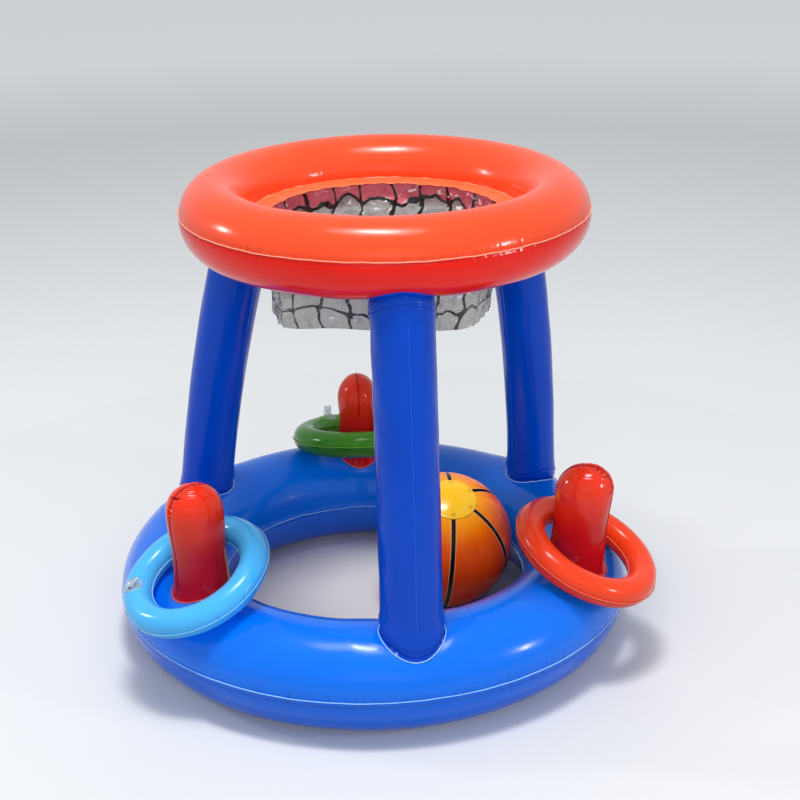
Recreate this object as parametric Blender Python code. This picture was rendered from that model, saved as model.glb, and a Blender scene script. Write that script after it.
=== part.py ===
"""Inflatable basketball hoop with three toss rings and a ball.

A ring shaped float carries three legs and three pegs. The legs hold a second,
smaller ring that is the hoop, and a film sleeve hangs in it as the net. The
toss rings hang on the pegs, and the ball lies in the well of the float.

Metres, +Z up. Everything is modelled round the middle of the float, and at the
end the toy is moved so that the middle of the floor it covers is the origin.
"""

import math

import bmesh
import bpy
from mathutils import Matrix, Vector

# Float at the bottom
BASE_OUTER_D = 0.610
BASE_TUBE_R = 0.061
BASE_VALVE_AZIMUTH = 122.0
BASE_VALVE_RISE = 24.0

# Hoop at the top, which leans a little on its soft legs
HOOP_OUTER_D = 0.4624
HOOP_TUBE_HALF_W = 0.0393
HOOP_TUBE_HALF_H = 0.0434
HOOP_MID_HEIGHT = 0.5227
HOOP_SHIFT_X = 0.0225
HOOP_SHIFT_Y = -0.0101
HOOP_TILT = -2.2
HOOP_VALVE_AZIMUTH = 78.0
HOOP_VALVE_RISE = 30.0

# Legs between the two rings: name, azimuth of the foot, azimuth of the top,
# half width at the foot and at the top, outward bow
LEGS = (
    ("front", -77.7, -82.6, 0.0345, 0.0343, 0.0035),
    ("back_right", 39.6, 41.3, 0.0297, 0.0323, 0.0090),
    ("back_left", 149.8, 150.4, 0.0333, 0.0352, 0.0082),
)
LEG_TOP_HALF_RADIAL = 0.0262
LEG_TOP_NECK = 0.050
LEG_FOOT_OUTSET = 0.010
LEG_END_FLARE = 0.0022
LEG_FLARE_LENGTH = 0.026

# Pegs on the float: name, azimuth, how far outside the crest of the tube the
# foot stands, height, outward lean, girth as a share
PEGS = (
    ("left", 218.1, -0.0056, 0.127, 3.0, 1.0),
    ("right", -16.7, 0.0077, 0.117, 6.0, 1.0),
    ("back", 97.2, -0.0067, 0.102, 2.5, 0.88),
)
PEG_HALF_RADIAL = 0.0345
PEG_HALF_ACROSS = 0.0310
PEG_TAPER = 0.0015
PEG_FOOT_FLARE = 0.002
PEG_DOME_HEIGHT = 0.034

# Toss rings: name, index of its peg, tilt, sideways slip on the peg, whether it
# hooks on the peg or lies round it, azimuth of the valve seen from the ring's
# middle, whether its valve is pushed in
TOSS_RINGS = (
    ("blue", 0, 25.0, 0.010, True, 182.0, True),
    ("red", 1, 26.0, -0.010, True, 96.0, True),
    ("green", 2, 13.0, -0.003, False, 131.0, False),
)
TOSS_LOOSE_SLIP = -0.002
TOSS_LOOSE_SINK = 0.0005
TOSS_RING_OUTER_D = 0.1776
TOSS_TUBE_R = 0.0168
TOSS_PEG_CLEARANCE = 0.0008
TOSS_REST_SIDES = 72
TOSS_REST_STEPS = 40

# Ball in the well of the float
BALL_D = 0.1664
BALL_AZIMUTH = 24.5
BALL_WALL_CLEARANCE = 0.0075
BALL_CAP_D = 0.060
BALL_CAP_THICKNESS = 0.0005
BALL_POLE_TILT = 26.0
BALL_POLE_AZIMUTH = -73.0
BALL_VALVE_AZIMUTH = 100.0
BALL_VALVE_RISE = 35.0

# Net sleeve of clear film, welded to the band inside the hoop
BAND_WIDTH = 0.0200
BAND_THICKNESS = 0.0012
BAND_DROP = 0.0020
NET_FILM = 0.0008
NET_LENGTH = 0.1130
NET_BOTTOM_R = 0.1210
NET_BOTTOM_DEPTH = 0.88
NET_BOTTOM_SHIFT_X = -0.006
NET_FOLDS = 7
NET_FOLD_DEPTH = 0.0030
NET_HEM_WAVE = 0.0025
NET_HEM_DIP = 0.0060

# Weld seams and weld flanges
SEAM_PROUD = 0.0013
SEAM_HALF_W = 0.0012
HOOP_SEAM_RISE = 0.006
LEG_SEAM_PROUD = 0.0007
WELD_WIDTH = 0.0032
WELD_THICKNESS = 0.0009
WELD_CLEARANCE = 0.0005

# Valves and plugs, one size throughout
VALVE_FLANGE_R = 0.0120
VALVE_FLANGE_THICKNESS = 0.0008
VALVE_NECK_R = 0.0051
VALVE_BORE_R = 0.0034
VALVE_NECK_LENGTH = 0.0110
VALVE_SEAT_GAP = 0.0005
VALVE_POCKET_CLEARANCE = 0.0004
PLUG_SHAFT_LENGTH = 0.0075
PLUG_HEAD_R = 0.0048
PLUG_HEAD_THICKNESS = 0.0020
PLUG_TAB_LENGTH = 0.0050
PLUG_CLEARANCE = 0.0003

# The gap that touching pieces keep, and the wider one under the end of a leg
# or peg, whose flat facets bridge the round skin below
GAP = 0.0003
END_RIM_GAP = 0.0007
END_MIDDLE_GAP = 0.0011

# Sizes of the loops that close an end, as shares of its rim, the distance
# from the skin that they start at, and where the straight walls begin
END_LOOPS = (1.0, 0.87, 0.68, 0.36)
END_START = 0.004
LEG_WALL_FROM_FOOT = 0.010
LEG_WALL_FROM_TOP = 0.032

# Facet counts
BASE_SIDES = 54
BASE_SECTION = 22
HOOP_SIDES = 48
HOOP_SECTION = 18
LEG_SECTION = 16
LEG_STATIONS = 7
PEG_SECTION = 16
WELD_SIDES = 26
TOSS_SIDES = 28
TOSS_SECTION = 12
BALL_SIDES = 24
BALL_BANDS = 12
NET_SIDES = 56
NET_ROWS = 5
VALVE_SIDES = 12

UP = Vector((0.0, 0.0, 1.0))


def outward(azimuth):
    """Level unit vector that points along an azimuth in degrees."""
    angle = math.radians(azimuth)
    return Vector((math.cos(angle), math.sin(angle), 0.0))


class RingTube:
    """An inflated ring: a circle with an elliptical tube around it."""

    def __init__(self, centre, frame, ring_r, half_w, half_h):
        self.centre = centre
        self.frame = frame
        self.ring_r = ring_r
        self.half_w = half_w
        self.half_h = half_h

    def clearance(self, point):
        """Distance of a point from the tube's skin, less than 0 inside."""
        local = self.frame.transposed() @ (point - self.centre)
        across = math.hypot(local.x, local.y) - self.ring_r
        reach = math.hypot(across, local.z)
        share = math.hypot(across / self.half_w, local.z / self.half_h)
        if share < 1e-6:
            return -min(self.half_w, self.half_h)
        return reach * (1.0 - 1.0 / share)

    def place(self, azimuth, across, height):
        """World point at a place in the section at an azimuth in radians."""
        reach = self.ring_r + across
        local = Vector((reach * math.cos(azimuth), reach * math.sin(azimuth), height))
        return self.centre + self.frame @ local

    def skin(self, azimuth, rise):
        """Point and normal on the skin, both angles in degrees."""
        turn = math.radians(azimuth)
        lift = math.radians(rise)
        point = self.place(turn, self.half_w * math.cos(lift), self.half_h * math.sin(lift))
        across = math.cos(lift) / self.half_w
        local = Vector((across * math.cos(turn), across * math.sin(turn), math.sin(lift) / self.half_h))
        return point, (self.frame @ local).normalized()


class Sphere:
    """The skin of the ball."""

    def __init__(self, centre, radius):
        self.centre = centre
        self.radius = radius

    def clearance(self, point):
        return (point - self.centre).length - self.radius


def strike(skin, start, direction, reach, lift):
    """Travel from start along direction until the skin is lift away."""
    near = 0.0
    far = reach
    for _ in range(40):
        middle = 0.5 * (near + far)
        if skin.clearance(start + direction * middle) > lift:
            near = middle
        else:
            far = middle
    return start + direction * near


# Meshes


def make_material(name, colour, roughness, alpha=1.0):
    material = bpy.data.materials.new(name)
    material.use_nodes = True
    shader = material.node_tree.nodes["Principled BSDF"]
    shader.inputs["Base Color"].default_value = (*colour, 1.0)
    shader.inputs["Roughness"].default_value = roughness
    shader.inputs["Metallic"].default_value = 0.0
    shader.inputs["Alpha"].default_value = alpha
    return material


def finish(name, mesh_data, material):
    """Turn a bmesh into a shaded object with its faces pointing out."""
    bmesh.ops.recalc_face_normals(mesh_data, faces=mesh_data.faces)
    mesh = bpy.data.meshes.new(name)
    mesh_data.to_mesh(mesh)
    mesh_data.free()
    mesh.shade_smooth()
    mesh.set_sharp_from_angle(angle=math.radians(40.0))
    mesh.materials.append(material)
    thing = bpy.data.objects.new(name, mesh)
    bpy.context.scene.collection.objects.link(thing)
    return thing


def bridge(mesh_data, lower, upper):
    count = len(lower)
    for i in range(count):
        j = (i + 1) % count
        mesh_data.faces.new((lower[i], lower[j], upper[j], upper[i]))


def fan(mesh_data, loop, tip):
    count = len(loop)
    for i in range(count):
        mesh_data.faces.new((loop[i], loop[(i + 1) % count], tip))


def skin_loops(name, loops, material, closed=False, start_tip=None, end_tip=None):
    """A closed body through loops of points, with a tip or a join at each end."""
    mesh_data = bmesh.new()
    rows = [[mesh_data.verts.new(point) for point in loop] for loop in loops]
    for lower, upper in zip(rows, rows[1:]):
        bridge(mesh_data, lower, upper)
    if closed:
        bridge(mesh_data, rows[-1], rows[0])
    if start_tip is not None:
        fan(mesh_data, rows[0], mesh_data.verts.new(start_tip))
    if end_tip is not None:
        fan(mesh_data, rows[-1], mesh_data.verts.new(end_tip))
    return finish(name, mesh_data, material)


def hang_on(thing, parent, pivot):
    """Give an object its origin at pivot, under a parent."""
    thing.data.transform(Matrix.Translation(-pivot))
    thing.location = pivot
    if parent is not None:
        thing.parent = parent
        thing.matrix_parent_inverse = parent.matrix_world.inverted()


def make_pivot(name, place):
    empty = bpy.data.objects.new(name, None)
    empty.empty_display_size = 0.02
    empty.location = place
    bpy.context.scene.collection.objects.link(empty)
    bpy.context.view_layer.update()
    return empty


# Sections


def seamed_section(half_w, half_h, count, seam_angles, proud):
    """Points round an elliptical tube, with a bead at each weld seam."""
    seam_half = math.degrees(SEAM_HALF_W / half_w)
    step = 360.0 / count
    stops = []
    for i in range(count):
        angle = -90.0 + (i + 0.5) * step
        if all(abs((angle - seam + 180.0) % 360.0 - 180.0) > 0.4 * step for seam in seam_angles):
            stops.append((angle % 360.0, 0.0))
    for seam in seam_angles:
        stops += [((seam - seam_half) % 360.0, 0.0), (seam % 360.0, proud), ((seam + seam_half) % 360.0, 0.0)]
    points = []
    for angle, lift in sorted(stops):
        turn = math.radians(angle)
        points.append(((half_w + lift) * math.cos(turn), (half_h + lift) * math.sin(turn)))
    return points


def ring_body(name, tube, section, sides, material):
    loops = []
    for i in range(sides):
        azimuth = 2.0 * math.pi * i / sides
        loops.append([tube.place(azimuth, across, height) for across, height in section])
    return skin_loops(name, loops, material, closed=True)


def upright_loop(centre, azimuth, half_radial, half_across, section, scale=1.0):
    """A level elliptical loop whose wide or narrow axis points along an azimuth."""
    radial = outward(azimuth)
    across = Vector((-radial.y, radial.x, 0.0))
    loop = []
    for u, v in section:
        loop.append(centre + radial * (u * half_radial * scale) + across * (v * half_across * scale))
    return loop


def unit_section(count, proud_share, half_width_share):
    """A circle of radius 1 with a bead on the outer and the inner side."""
    bead = math.degrees(half_width_share)
    step = 360.0 / count
    stops = [(i * step, 0.0) for i in range(count) if i % (count // 2) != 0]
    for seam in (0.0, 180.0):
        stops += [((seam - bead) % 360.0, 0.0), (seam, proud_share), ((seam + bead) % 360.0, 0.0)]
    points = []
    for angle, lift in sorted(stops):
        turn = math.radians(angle)
        points.append(((1.0 + lift) * math.cos(turn), (1.0 + lift) * math.sin(turn)))
    return points


# Rings


def base_tube():
    flat_share = math.cos(math.pi / BASE_SECTION)
    centre = Vector((0.0, 0.0, BASE_TUBE_R * flat_share))
    ring_r = 0.5 * BASE_OUTER_D - BASE_TUBE_R
    return RingTube(centre, Matrix.Identity(3), ring_r, BASE_TUBE_R, BASE_TUBE_R)


def hoop_tube():
    centre = Vector((HOOP_SHIFT_X, HOOP_SHIFT_Y, HOOP_MID_HEIGHT))
    frame = Matrix.Rotation(math.radians(HOOP_TILT), 3, "X")
    ring_r = 0.5 * HOOP_OUTER_D - HOOP_TUBE_HALF_W
    return RingTube(centre, frame, ring_r, HOOP_TUBE_HALF_W, HOOP_TUBE_HALF_H)


class PegBody:
    """Where a peg stands on the float, its axis and its distance from a point."""

    def __init__(self, base, peg):
        self.name, self.azimuth, outset, self.height, lean, girth = peg
        self.half_radial = PEG_HALF_RADIAL * girth
        self.half_across = PEG_HALF_ACROSS * girth
        self.radial = outward(self.azimuth)
        self.across = Vector((-self.radial.y, self.radial.x, 0.0))
        crest = base.centre.z + math.sqrt(base.half_h ** 2 - outset ** 2)
        self.foot = self.radial * (base.ring_r + outset) + UP * crest
        self.axis = (UP + self.radial * math.tan(math.radians(lean))).normalized()

    def clearance(self, point):
        rise = (point.z - self.foot.z) / self.axis.z
        away = point - self.foot - self.axis * rise
        u = away.dot(self.radial) / (self.half_radial + LEG_SEAM_PROUD)
        v = away.dot(self.across) / self.half_across
        return away.length * (1.0 - 1.0 / max(math.hypot(u, v), 1e-6))


def toss_frame(body, tilt):
    """Axes of a toss ring that tips outward over its peg."""
    tip = Matrix.Rotation(math.radians(tilt), 3, body.across)
    return Matrix((tip @ body.radial, body.across, tip @ UP)).transposed()


def toss_tube(base, toss_ring):
    """A toss ring that hooks on its peg, or lies round it, and rests on the float."""
    _, peg_index, tilt, slip, hooked, _, _ = toss_ring
    body = PegBody(base, PEGS[peg_index])
    ring_r = 0.5 * TOSS_RING_OUTER_D - TOSS_TUBE_R
    frame = toss_frame(body, tilt)
    turns = [2.0 * math.pi * i / TOSS_REST_SIDES for i in range(TOSS_REST_SIDES)]
    spokes = [frame @ Vector((ring_r * math.cos(turn), ring_r * math.sin(turn), 0.0)) for turn in turns]
    inner_side = [spoke for spoke in spokes if spoke.dot(body.radial) < 0.0]
    apart = base.half_w + TOSS_TUBE_R + GAP
    middle = body.foot + body.across * slip + body.radial * TOSS_LOOSE_SLIP
    for _ in range(TOSS_REST_STEPS):
        if hooked:
            room = min(body.clearance(middle + spoke) for spoke in inner_side)
            middle += body.radial * (room - TOSS_TUBE_R - TOSS_PEG_CLEARANCE)
        low = 1.0
        for spoke in spokes:
            core = middle + spoke
            level = math.hypot(core.x, core.y) - base.ring_r
            height = apart * apart - level * level
            if height > 0.0:
                low = min(low, core.z - base.centre.z - math.sqrt(height))
        middle.z -= low
    if not hooked:
        middle.z -= TOSS_LOOSE_SINK
    return RingTube(middle, frame, ring_r, TOSS_TUBE_R, TOSS_TUBE_R)


# Legs and pegs, which end on the skins of the rings


def end_loops(skin, centre, direction, azimuth, half_radial, half_across, section):
    """Loops that close the end of a leg against a ring, from rim to middle."""
    loops = []
    for scale in END_LOOPS:
        lift = END_RIM_GAP if scale == 1.0 else END_MIDDLE_GAP
        flat = upright_loop(centre, azimuth, half_radial, half_across, section, scale)
        loops.append([strike(skin, point, direction, END_START + skin.half_h, lift) for point in flat])
    tip = strike(skin, centre, direction, END_START + skin.half_h, END_MIDDLE_GAP)
    return loops, tip


def weld_flange(name, skin, centre, direction, azimuth, half_radial, half_across, material):
    """The thin collar of film where a leg or peg is welded to a ring."""
    turns = [2.0 * math.pi * i / WELD_SIDES for i in range(WELD_SIDES)]
    section = [(math.cos(turn), math.sin(turn)) for turn in turns]
    loops = []
    near = WELD_CLEARANCE + LEG_SEAM_PROUD
    for out, lift in (
        (near, END_RIM_GAP),
        (near + WELD_WIDTH, END_RIM_GAP),
        (near + WELD_WIDTH, END_RIM_GAP + WELD_THICKNESS),
        (near, END_RIM_GAP + WELD_THICKNESS),
    ):
        flat = upright_loop(centre, azimuth, half_radial + out, half_across + out, section)
        loops.append([strike(skin, point, direction, END_START + skin.half_h, lift) for point in flat])
    return skin_loops(name, loops, material, closed=True)


def make_leg(base, hoop, leg, leg_material, weld_material):
    name, foot_azimuth, top_azimuth, foot_half, top_half, bow = leg
    foot = outward(foot_azimuth) * (base.ring_r + LEG_FOOT_OUTSET)
    foot.z = base.centre.z + base.half_h
    top = hoop.centre + outward(top_azimuth) * hoop.ring_r
    top.z = strike(hoop, Vector((top.x, top.y, foot.z)), UP, hoop.centre.z - foot.z, GAP).z
    section = unit_section(LEG_SECTION, LEG_SEAM_PROUD / foot_half, SEAM_HALF_W / foot_half)
    length = top.z - foot.z

    def middle(share):
        return foot.lerp(top, share) + outward(foot_azimuth) * bow * math.sin(math.pi * share)

    def swell(share):
        from_end = min(share, 1.0 - share) * length
        return LEG_END_FLARE * max(0.0, 1.0 - from_end / LEG_FLARE_LENGTH) ** 2

    def halves(share):
        half = foot_half + (top_half - foot_half) * share
        near_top = max(0.0, 1.0 - (1.0 - share) * length / LEG_TOP_NECK)
        half_radial = half + min(0.0, LEG_TOP_HALF_RADIAL - half) * near_top
        return half_radial + swell(share), half + swell(share)

    foot_start = middle(0.0) + UP * END_START
    top_start = middle(1.0) - UP * END_START
    foot_loops, foot_tip = end_loops(base, foot_start, -UP, foot_azimuth, *halves(0.0), section)
    top_loops, top_tip = end_loops(hoop, top_start, UP, foot_azimuth, *halves(1.0), section)
    first = LEG_WALL_FROM_FOOT / length
    last = 1.0 - LEG_WALL_FROM_TOP / length
    walls = []
    for i in range(LEG_STATIONS):
        ease = 0.5 - 0.5 * math.cos(math.pi * i / (LEG_STATIONS - 1))
        share = first + (last - first) * ease
        walls.append(upright_loop(middle(share), foot_azimuth, *halves(share), section))
    loops = foot_loops[::-1] + walls + top_loops
    skin_loops(f"leg_{name}", loops, leg_material, start_tip=foot_tip, end_tip=top_tip)
    weld_flange(f"weld_foot_{name}", base, foot_start, -UP, foot_azimuth, *halves(0.0), weld_material)
    weld_flange(f"weld_top_{name}", hoop, top_start, UP, foot_azimuth, *halves(1.0), weld_material)


def make_peg(base, peg, peg_material, weld_material):
    body = PegBody(base, peg)
    name, azimuth, foot, axis = body.name, body.azimuth, body.foot, body.axis
    section = unit_section(PEG_SECTION, LEG_SEAM_PROUD / body.half_radial, SEAM_HALF_W / body.half_radial)
    straight = body.height - PEG_DOME_HEIGHT

    def halves(height):
        taper = PEG_TAPER * min(height, straight) / straight
        flare = PEG_FOOT_FLARE * max(0.0, 1.0 - height / (0.2 * straight)) ** 2
        dome = 1.0
        if height > straight:
            dome = math.sqrt(max(0.0, 1.0 - ((height - straight) / PEG_DOME_HEIGHT) ** 2))
        return (body.half_radial - taper + flare) * dome, (body.half_across - taper + flare) * dome

    start = foot + UP * END_START
    foot_loops, foot_tip = end_loops(base, start, -UP, azimuth, *halves(0.0), section)
    heights = [straight * share for share in (0.10, 0.35, 0.70, 1.0)]
    heights += [straight + PEG_DOME_HEIGHT * math.sin(math.radians(turn)) for turn in (24.0, 44.0, 62.0, 78.0)]
    walls = [upright_loop(foot + axis * height, azimuth, *halves(height), section) for height in heights]
    skin_loops(
        f"peg_{name}",
        foot_loops[::-1] + walls,
        peg_material,
        start_tip=foot_tip,
        end_tip=foot + axis * body.height,
    )
    weld_flange(f"weld_peg_{name}", base, start, -UP, azimuth, *halves(0.0), weld_material)


# Net


def band_inner_r(hoop):
    return hoop.ring_r - hoop.half_w - SEAM_PROUD - GAP - BAND_WIDTH


def make_band(hoop, material):
    """The welded rim inside the hoop that the net film hangs from."""
    outer = -hoop.half_w - SEAM_PROUD - GAP
    inner = outer - BAND_WIDTH
    section = [
        (outer, -0.5 * BAND_THICKNESS),
        (outer, 0.5 * BAND_THICKNESS),
        (inner, 0.5 * BAND_THICKNESS - BAND_DROP),
        (inner, -0.5 * BAND_THICKNESS - BAND_DROP),
    ]
    return ring_body("net_band", hoop, section, HOOP_SIDES, material)


def net_place(hoop, azimuth, share, side):
    """A point of the film: share 0 at the band, 1 at the hem."""
    top_r = band_inner_r(hoop) + 0.5 * BAND_WIDTH
    drape = share * share * (3.0 - 2.0 * share)
    reach = top_r + (NET_BOTTOM_R - top_r) * (0.65 * share + 0.35 * drape)
    fold = math.sin(NET_FOLDS * azimuth) + 0.6 * math.sin(2.0 * azimuth + 0.5)
    reach += NET_FOLD_DEPTH * share * fold + side
    depth = 1.0 - (1.0 - NET_BOTTOM_DEPTH) * drape
    wave = NET_HEM_WAVE * math.sin(3.0 * azimuth + 0.8) - NET_HEM_DIP * math.cos(2.0 * azimuth)
    slope = BAND_DROP / BAND_WIDTH
    start = -0.5 * (BAND_THICKNESS + BAND_DROP + slope * NET_FILM) - GAP
    local = Vector((
        reach * math.cos(azimuth) + NET_BOTTOM_SHIFT_X * share,
        reach * depth * math.sin(azimuth),
        start - (NET_LENGTH - wave) * share,
    ))
    return hoop.centre + hoop.frame @ local


def make_net(hoop, material):
    loops = []
    rows = [i / NET_ROWS for i in range(NET_ROWS + 1)]
    for side, shares in ((0.5 * NET_FILM, rows), (-0.5 * NET_FILM, rows[::-1])):
        for share in shares:
            turns = [2.0 * math.pi * i / NET_SIDES for i in range(NET_SIDES)]
            loops.append([net_place(hoop, turn, share, side) for turn in turns])
    return skin_loops("net_sleeve", loops, material, closed=True)


# Valves and plugs


def valve_axes(axis):
    """Two unit vectors across a valve's axis; the first lies level."""
    level = UP.cross(axis)
    if level.length < 0.2:
        level = Vector((1.0, 0.0, 0.0)).cross(axis)
    level.normalize()
    return level, axis.cross(level).normalized()


def valve_loop(place, axis, radius, height):
    first, second = valve_axes(axis)
    loop = []
    for i in range(VALVE_SIDES):
        turn = 2.0 * math.pi * i / VALVE_SIDES
        loop.append(place + first * (radius * math.cos(turn)) + second * (radius * math.sin(turn)) + axis * height)
    return loop


def resting_loop(skin, place, axis, radius, lift):
    start = 0.02
    return [strike(skin, point, -axis, 0.06, lift) for point in valve_loop(place, axis, radius, start)]


def make_valve(name, skin, place, axis, pushed_in, material):
    """A valve with its flange on the skin and its neck standing or pushed in."""
    under = VALVE_SEAT_GAP
    over = VALVE_SEAT_GAP + VALVE_FLANGE_THICKNESS
    halfway = 0.5 * (VALVE_FLANGE_R + VALVE_NECK_R)
    below = resting_loop(skin, place, axis, halfway, under)
    rim = resting_loop(skin, place, axis, VALVE_FLANGE_R, under)
    edge = resting_loop(skin, place, axis, VALVE_FLANGE_R, over)
    if pushed_in:
        loops = [
            valve_loop(place, axis, VALVE_BORE_R, over),
            valve_loop(place, axis, VALVE_NECK_R, over),
            edge,
            rim,
            below,
            resting_loop(skin, place, axis, VALVE_NECK_R, under),
            valve_loop(place, axis, VALVE_NECK_R, -VALVE_NECK_LENGTH),
            valve_loop(place, axis, VALVE_BORE_R, -VALVE_NECK_LENGTH),
        ]
    else:
        loops = [
            valve_loop(place, axis, VALVE_BORE_R, VALVE_NECK_LENGTH),
            valve_loop(place, axis, VALVE_NECK_R, VALVE_NECK_LENGTH),
            resting_loop(skin, place, axis, VALVE_NECK_R, over),
            edge,
            rim,
            below,
            resting_loop(skin, place, axis, VALVE_NECK_R, under),
            resting_loop(skin, place, axis, VALVE_BORE_R, under),
        ]
    return skin_loops(name, loops, material, closed=True)


def make_plug(name, place, axis, pushed_in, material):
    """A stopper with a shaft in the bore, a head on the rim and a pull tab."""
    seat = VALVE_SEAT_GAP + VALVE_FLANGE_THICKNESS if pushed_in else VALVE_NECK_LENGTH
    shaft_r = VALVE_BORE_R - PLUG_CLEARANCE
    under = seat + PLUG_CLEARANCE
    over = under + PLUG_HEAD_THICKNESS
    stops = (
        (0.7 * shaft_r, seat - PLUG_SHAFT_LENGTH),
        (shaft_r, seat - 0.8 * PLUG_SHAFT_LENGTH),
        (shaft_r, under),
        (PLUG_HEAD_R, under),
        (PLUG_HEAD_R, over - 0.25 * PLUG_HEAD_THICKNESS),
        (0.78 * PLUG_HEAD_R, over),
    )
    loops = [valve_loop(place, axis, radius, height) for radius, height in stops]
    mesh_data = bmesh.new()
    rows = [[mesh_data.verts.new(point) for point in loop] for loop in loops]
    for lower, upper in zip(rows, rows[1:]):
        bridge(mesh_data, lower, upper)
    fan(mesh_data, rows[0], mesh_data.verts.new(place + axis * (seat - PLUG_SHAFT_LENGTH)))
    fan(mesh_data, rows[-1], mesh_data.verts.new(place + axis * over))
    first, second = valve_axes(axis)
    tab_way = second * math.copysign(1.0, second.z if abs(second.z) > 1e-6 else 1.0)
    side_faces = []
    for face in mesh_data.faces:
        middle = face.calc_center_median() - place
        along = middle.dot(axis)
        sideways = middle - axis * along
        if under < along < over - 0.3 * PLUG_HEAD_THICKNESS and len(face.verts) == 4:
            if abs(sideways.dot(first)) < 0.35 * PLUG_HEAD_R and sideways.dot(tab_way) > 0.8 * PLUG_HEAD_R:
                side_faces.append(face)
    pulled = bmesh.ops.extrude_face_region(mesh_data, geom=side_faces)
    moved = [item for item in pulled["geom"] if isinstance(item, bmesh.types.BMVert)]
    bmesh.ops.translate(mesh_data, verts=moved, vec=tab_way * PLUG_TAB_LENGTH)
    bmesh.ops.delete(mesh_data, geom=side_faces, context="FACES")
    return finish(name, mesh_data, material)


def cut_pocket(target, place, axis):
    """Make room in a chamber for a valve neck that is pushed in."""
    radius = VALVE_NECK_R + VALVE_POCKET_CLEARANCE
    depth = VALVE_NECK_LENGTH + VALVE_POCKET_CLEARANCE
    loops = [valve_loop(place, axis, radius, 0.01), valve_loop(place, axis, radius, -depth)]
    material = target.data.materials[0]
    cutter = skin_loops(
        f"cutter_{target.name}",
        loops,
        material,
        start_tip=place + axis * 0.01,
        end_tip=place - axis * depth,
    )
    cutter.hide_render = True
    cutter.display_type = "WIRE"
    cut = target.modifiers.new("valve pocket", "BOOLEAN")
    cut.operation = "DIFFERENCE"
    cut.solver = "EXACT"
    cut.object = cutter
    return cutter


def fit_valve(label, skin, place, axis, pushed_in, target, materials, parent):
    """A valve, its plug and, for a pushed in neck, the pocket for it."""
    if pushed_in:
        cutter = cut_pocket(target, place, axis)
        hang_on(cutter, parent, place)
    valve = make_valve(f"valve_{label}", skin, place, axis, pushed_in, materials["valve"])
    plug = make_plug(f"plug_{label}", place, axis, pushed_in, materials["plug"])
    hang_on(valve, parent, place)
    hang_on(plug, parent, place)


# Ball


def ball_frame():
    pole = UP * math.cos(math.radians(BALL_POLE_TILT))
    pole += outward(BALL_POLE_AZIMUTH) * math.sin(math.radians(BALL_POLE_TILT))
    side = outward(BALL_POLE_AZIMUTH + 90.0)
    return Matrix((side, pole.cross(side), pole)).transposed()


def ball_place(base):
    """Middle of the ball, on the floor and clear of the float's wall."""
    height = 0.5 * BALL_D + GAP + BALL_CAP_THICKNESS
    apart = base.half_w + 0.5 * BALL_D + BALL_WALL_CLEARANCE
    level = math.sqrt(apart * apart - (height - base.centre.z) ** 2)
    return outward(BALL_AZIMUTH) * (base.ring_r - level) + UP * height


def ball_loop(middle, frame, radius, polar):
    loop = []
    for i in range(BALL_SIDES):
        turn = 2.0 * math.pi * i / BALL_SIDES
        local = Vector((math.sin(polar) * math.cos(turn), math.sin(polar) * math.sin(turn), math.cos(polar)))
        loop.append(middle + frame @ (local * radius))
    return loop


def make_ball(middle, frame, material):
    radius = 0.5 * BALL_D
    loops = [ball_loop(middle, frame, radius, math.pi * i / BALL_BANDS) for i in range(1, BALL_BANDS)]
    pole = frame @ (UP * radius)
    return skin_loops("ball", loops, material, start_tip=middle + pole, end_tip=middle - pole)


def make_ball_cap(name, middle, frame, turned, material):
    """A round patch of film over a pole of the ball."""
    if turned:
        frame = frame @ Matrix.Rotation(math.pi, 3, "X")
    inner = 0.5 * BALL_D + GAP
    outer = inner + BALL_CAP_THICKNESS
    edge = math.asin(BALL_CAP_D / BALL_D)
    loops = [ball_loop(middle, frame, inner, edge * share) for share in (0.34, 0.68, 1.0)]
    loops += [ball_loop(middle, frame, outer, edge * share) for share in (1.0, 0.68, 0.34)]
    pole = frame @ UP
    return skin_loops(name, loops, material, start_tip=middle + pole * inner, end_tip=middle + pole * outer)


# The whole toy


def make_materials():
    return {
        "float": make_material("royal blue film", (0.010, 0.085, 0.62), 0.22),
        "leg": make_material("deep blue film", (0.008, 0.060, 0.50), 0.22),
        "weld": make_material("blue weld edge", (0.020, 0.120, 0.70), 0.30),
        "hoop": make_material("orange film", (1.0, 0.10, 0.022), 0.22),
        "band": make_material("orange weld band", (1.0, 0.16, 0.04), 0.30),
        "peg": make_material("red film", (0.72, 0.010, 0.012), 0.22),
        "peg_weld": make_material("red weld edge", (0.85, 0.05, 0.05), 0.30),
        "net": make_material("clear net film", (0.45, 0.45, 0.45), 0.15, 0.55),
        "blue": make_material("light blue film", (0.08, 0.42, 0.95), 0.22),
        "red": make_material("red orange film", (1.0, 0.060, 0.020), 0.22),
        "green": make_material("green film", (0.09, 0.33, 0.035), 0.22),
        "ball": make_material("orange ball film", (0.80, 0.12, 0.003), 0.22),
        "cap": make_material("yellow cap film", (1.0, 0.48, 0.020), 0.22),
        "valve": make_material("clear valve plastic", (0.85, 0.88, 0.90), 0.12, 0.5),
        "plug": make_material("clear plug plastic", (0.90, 0.92, 0.93), 0.12, 0.7),
    }


def centre_on_origin():
    """Hang the whole toy on one empty and bring its footprint to the origin."""
    toy = make_pivot("toy", Vector((0.0, 0.0, 0.0)))
    corners = []
    for thing in bpy.data.objects:
        if thing.type == "MESH" and not thing.hide_render:
            corners += [thing.matrix_world @ vertex.co for vertex in thing.data.vertices]
    for thing in list(bpy.data.objects):
        if thing.parent is None and thing is not toy:
            thing.parent = toy
    toy.location.x = -0.5 * (min(c.x for c in corners) + max(c.x for c in corners))
    toy.location.y = -0.5 * (min(c.y for c in corners) + max(c.y for c in corners))


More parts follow.
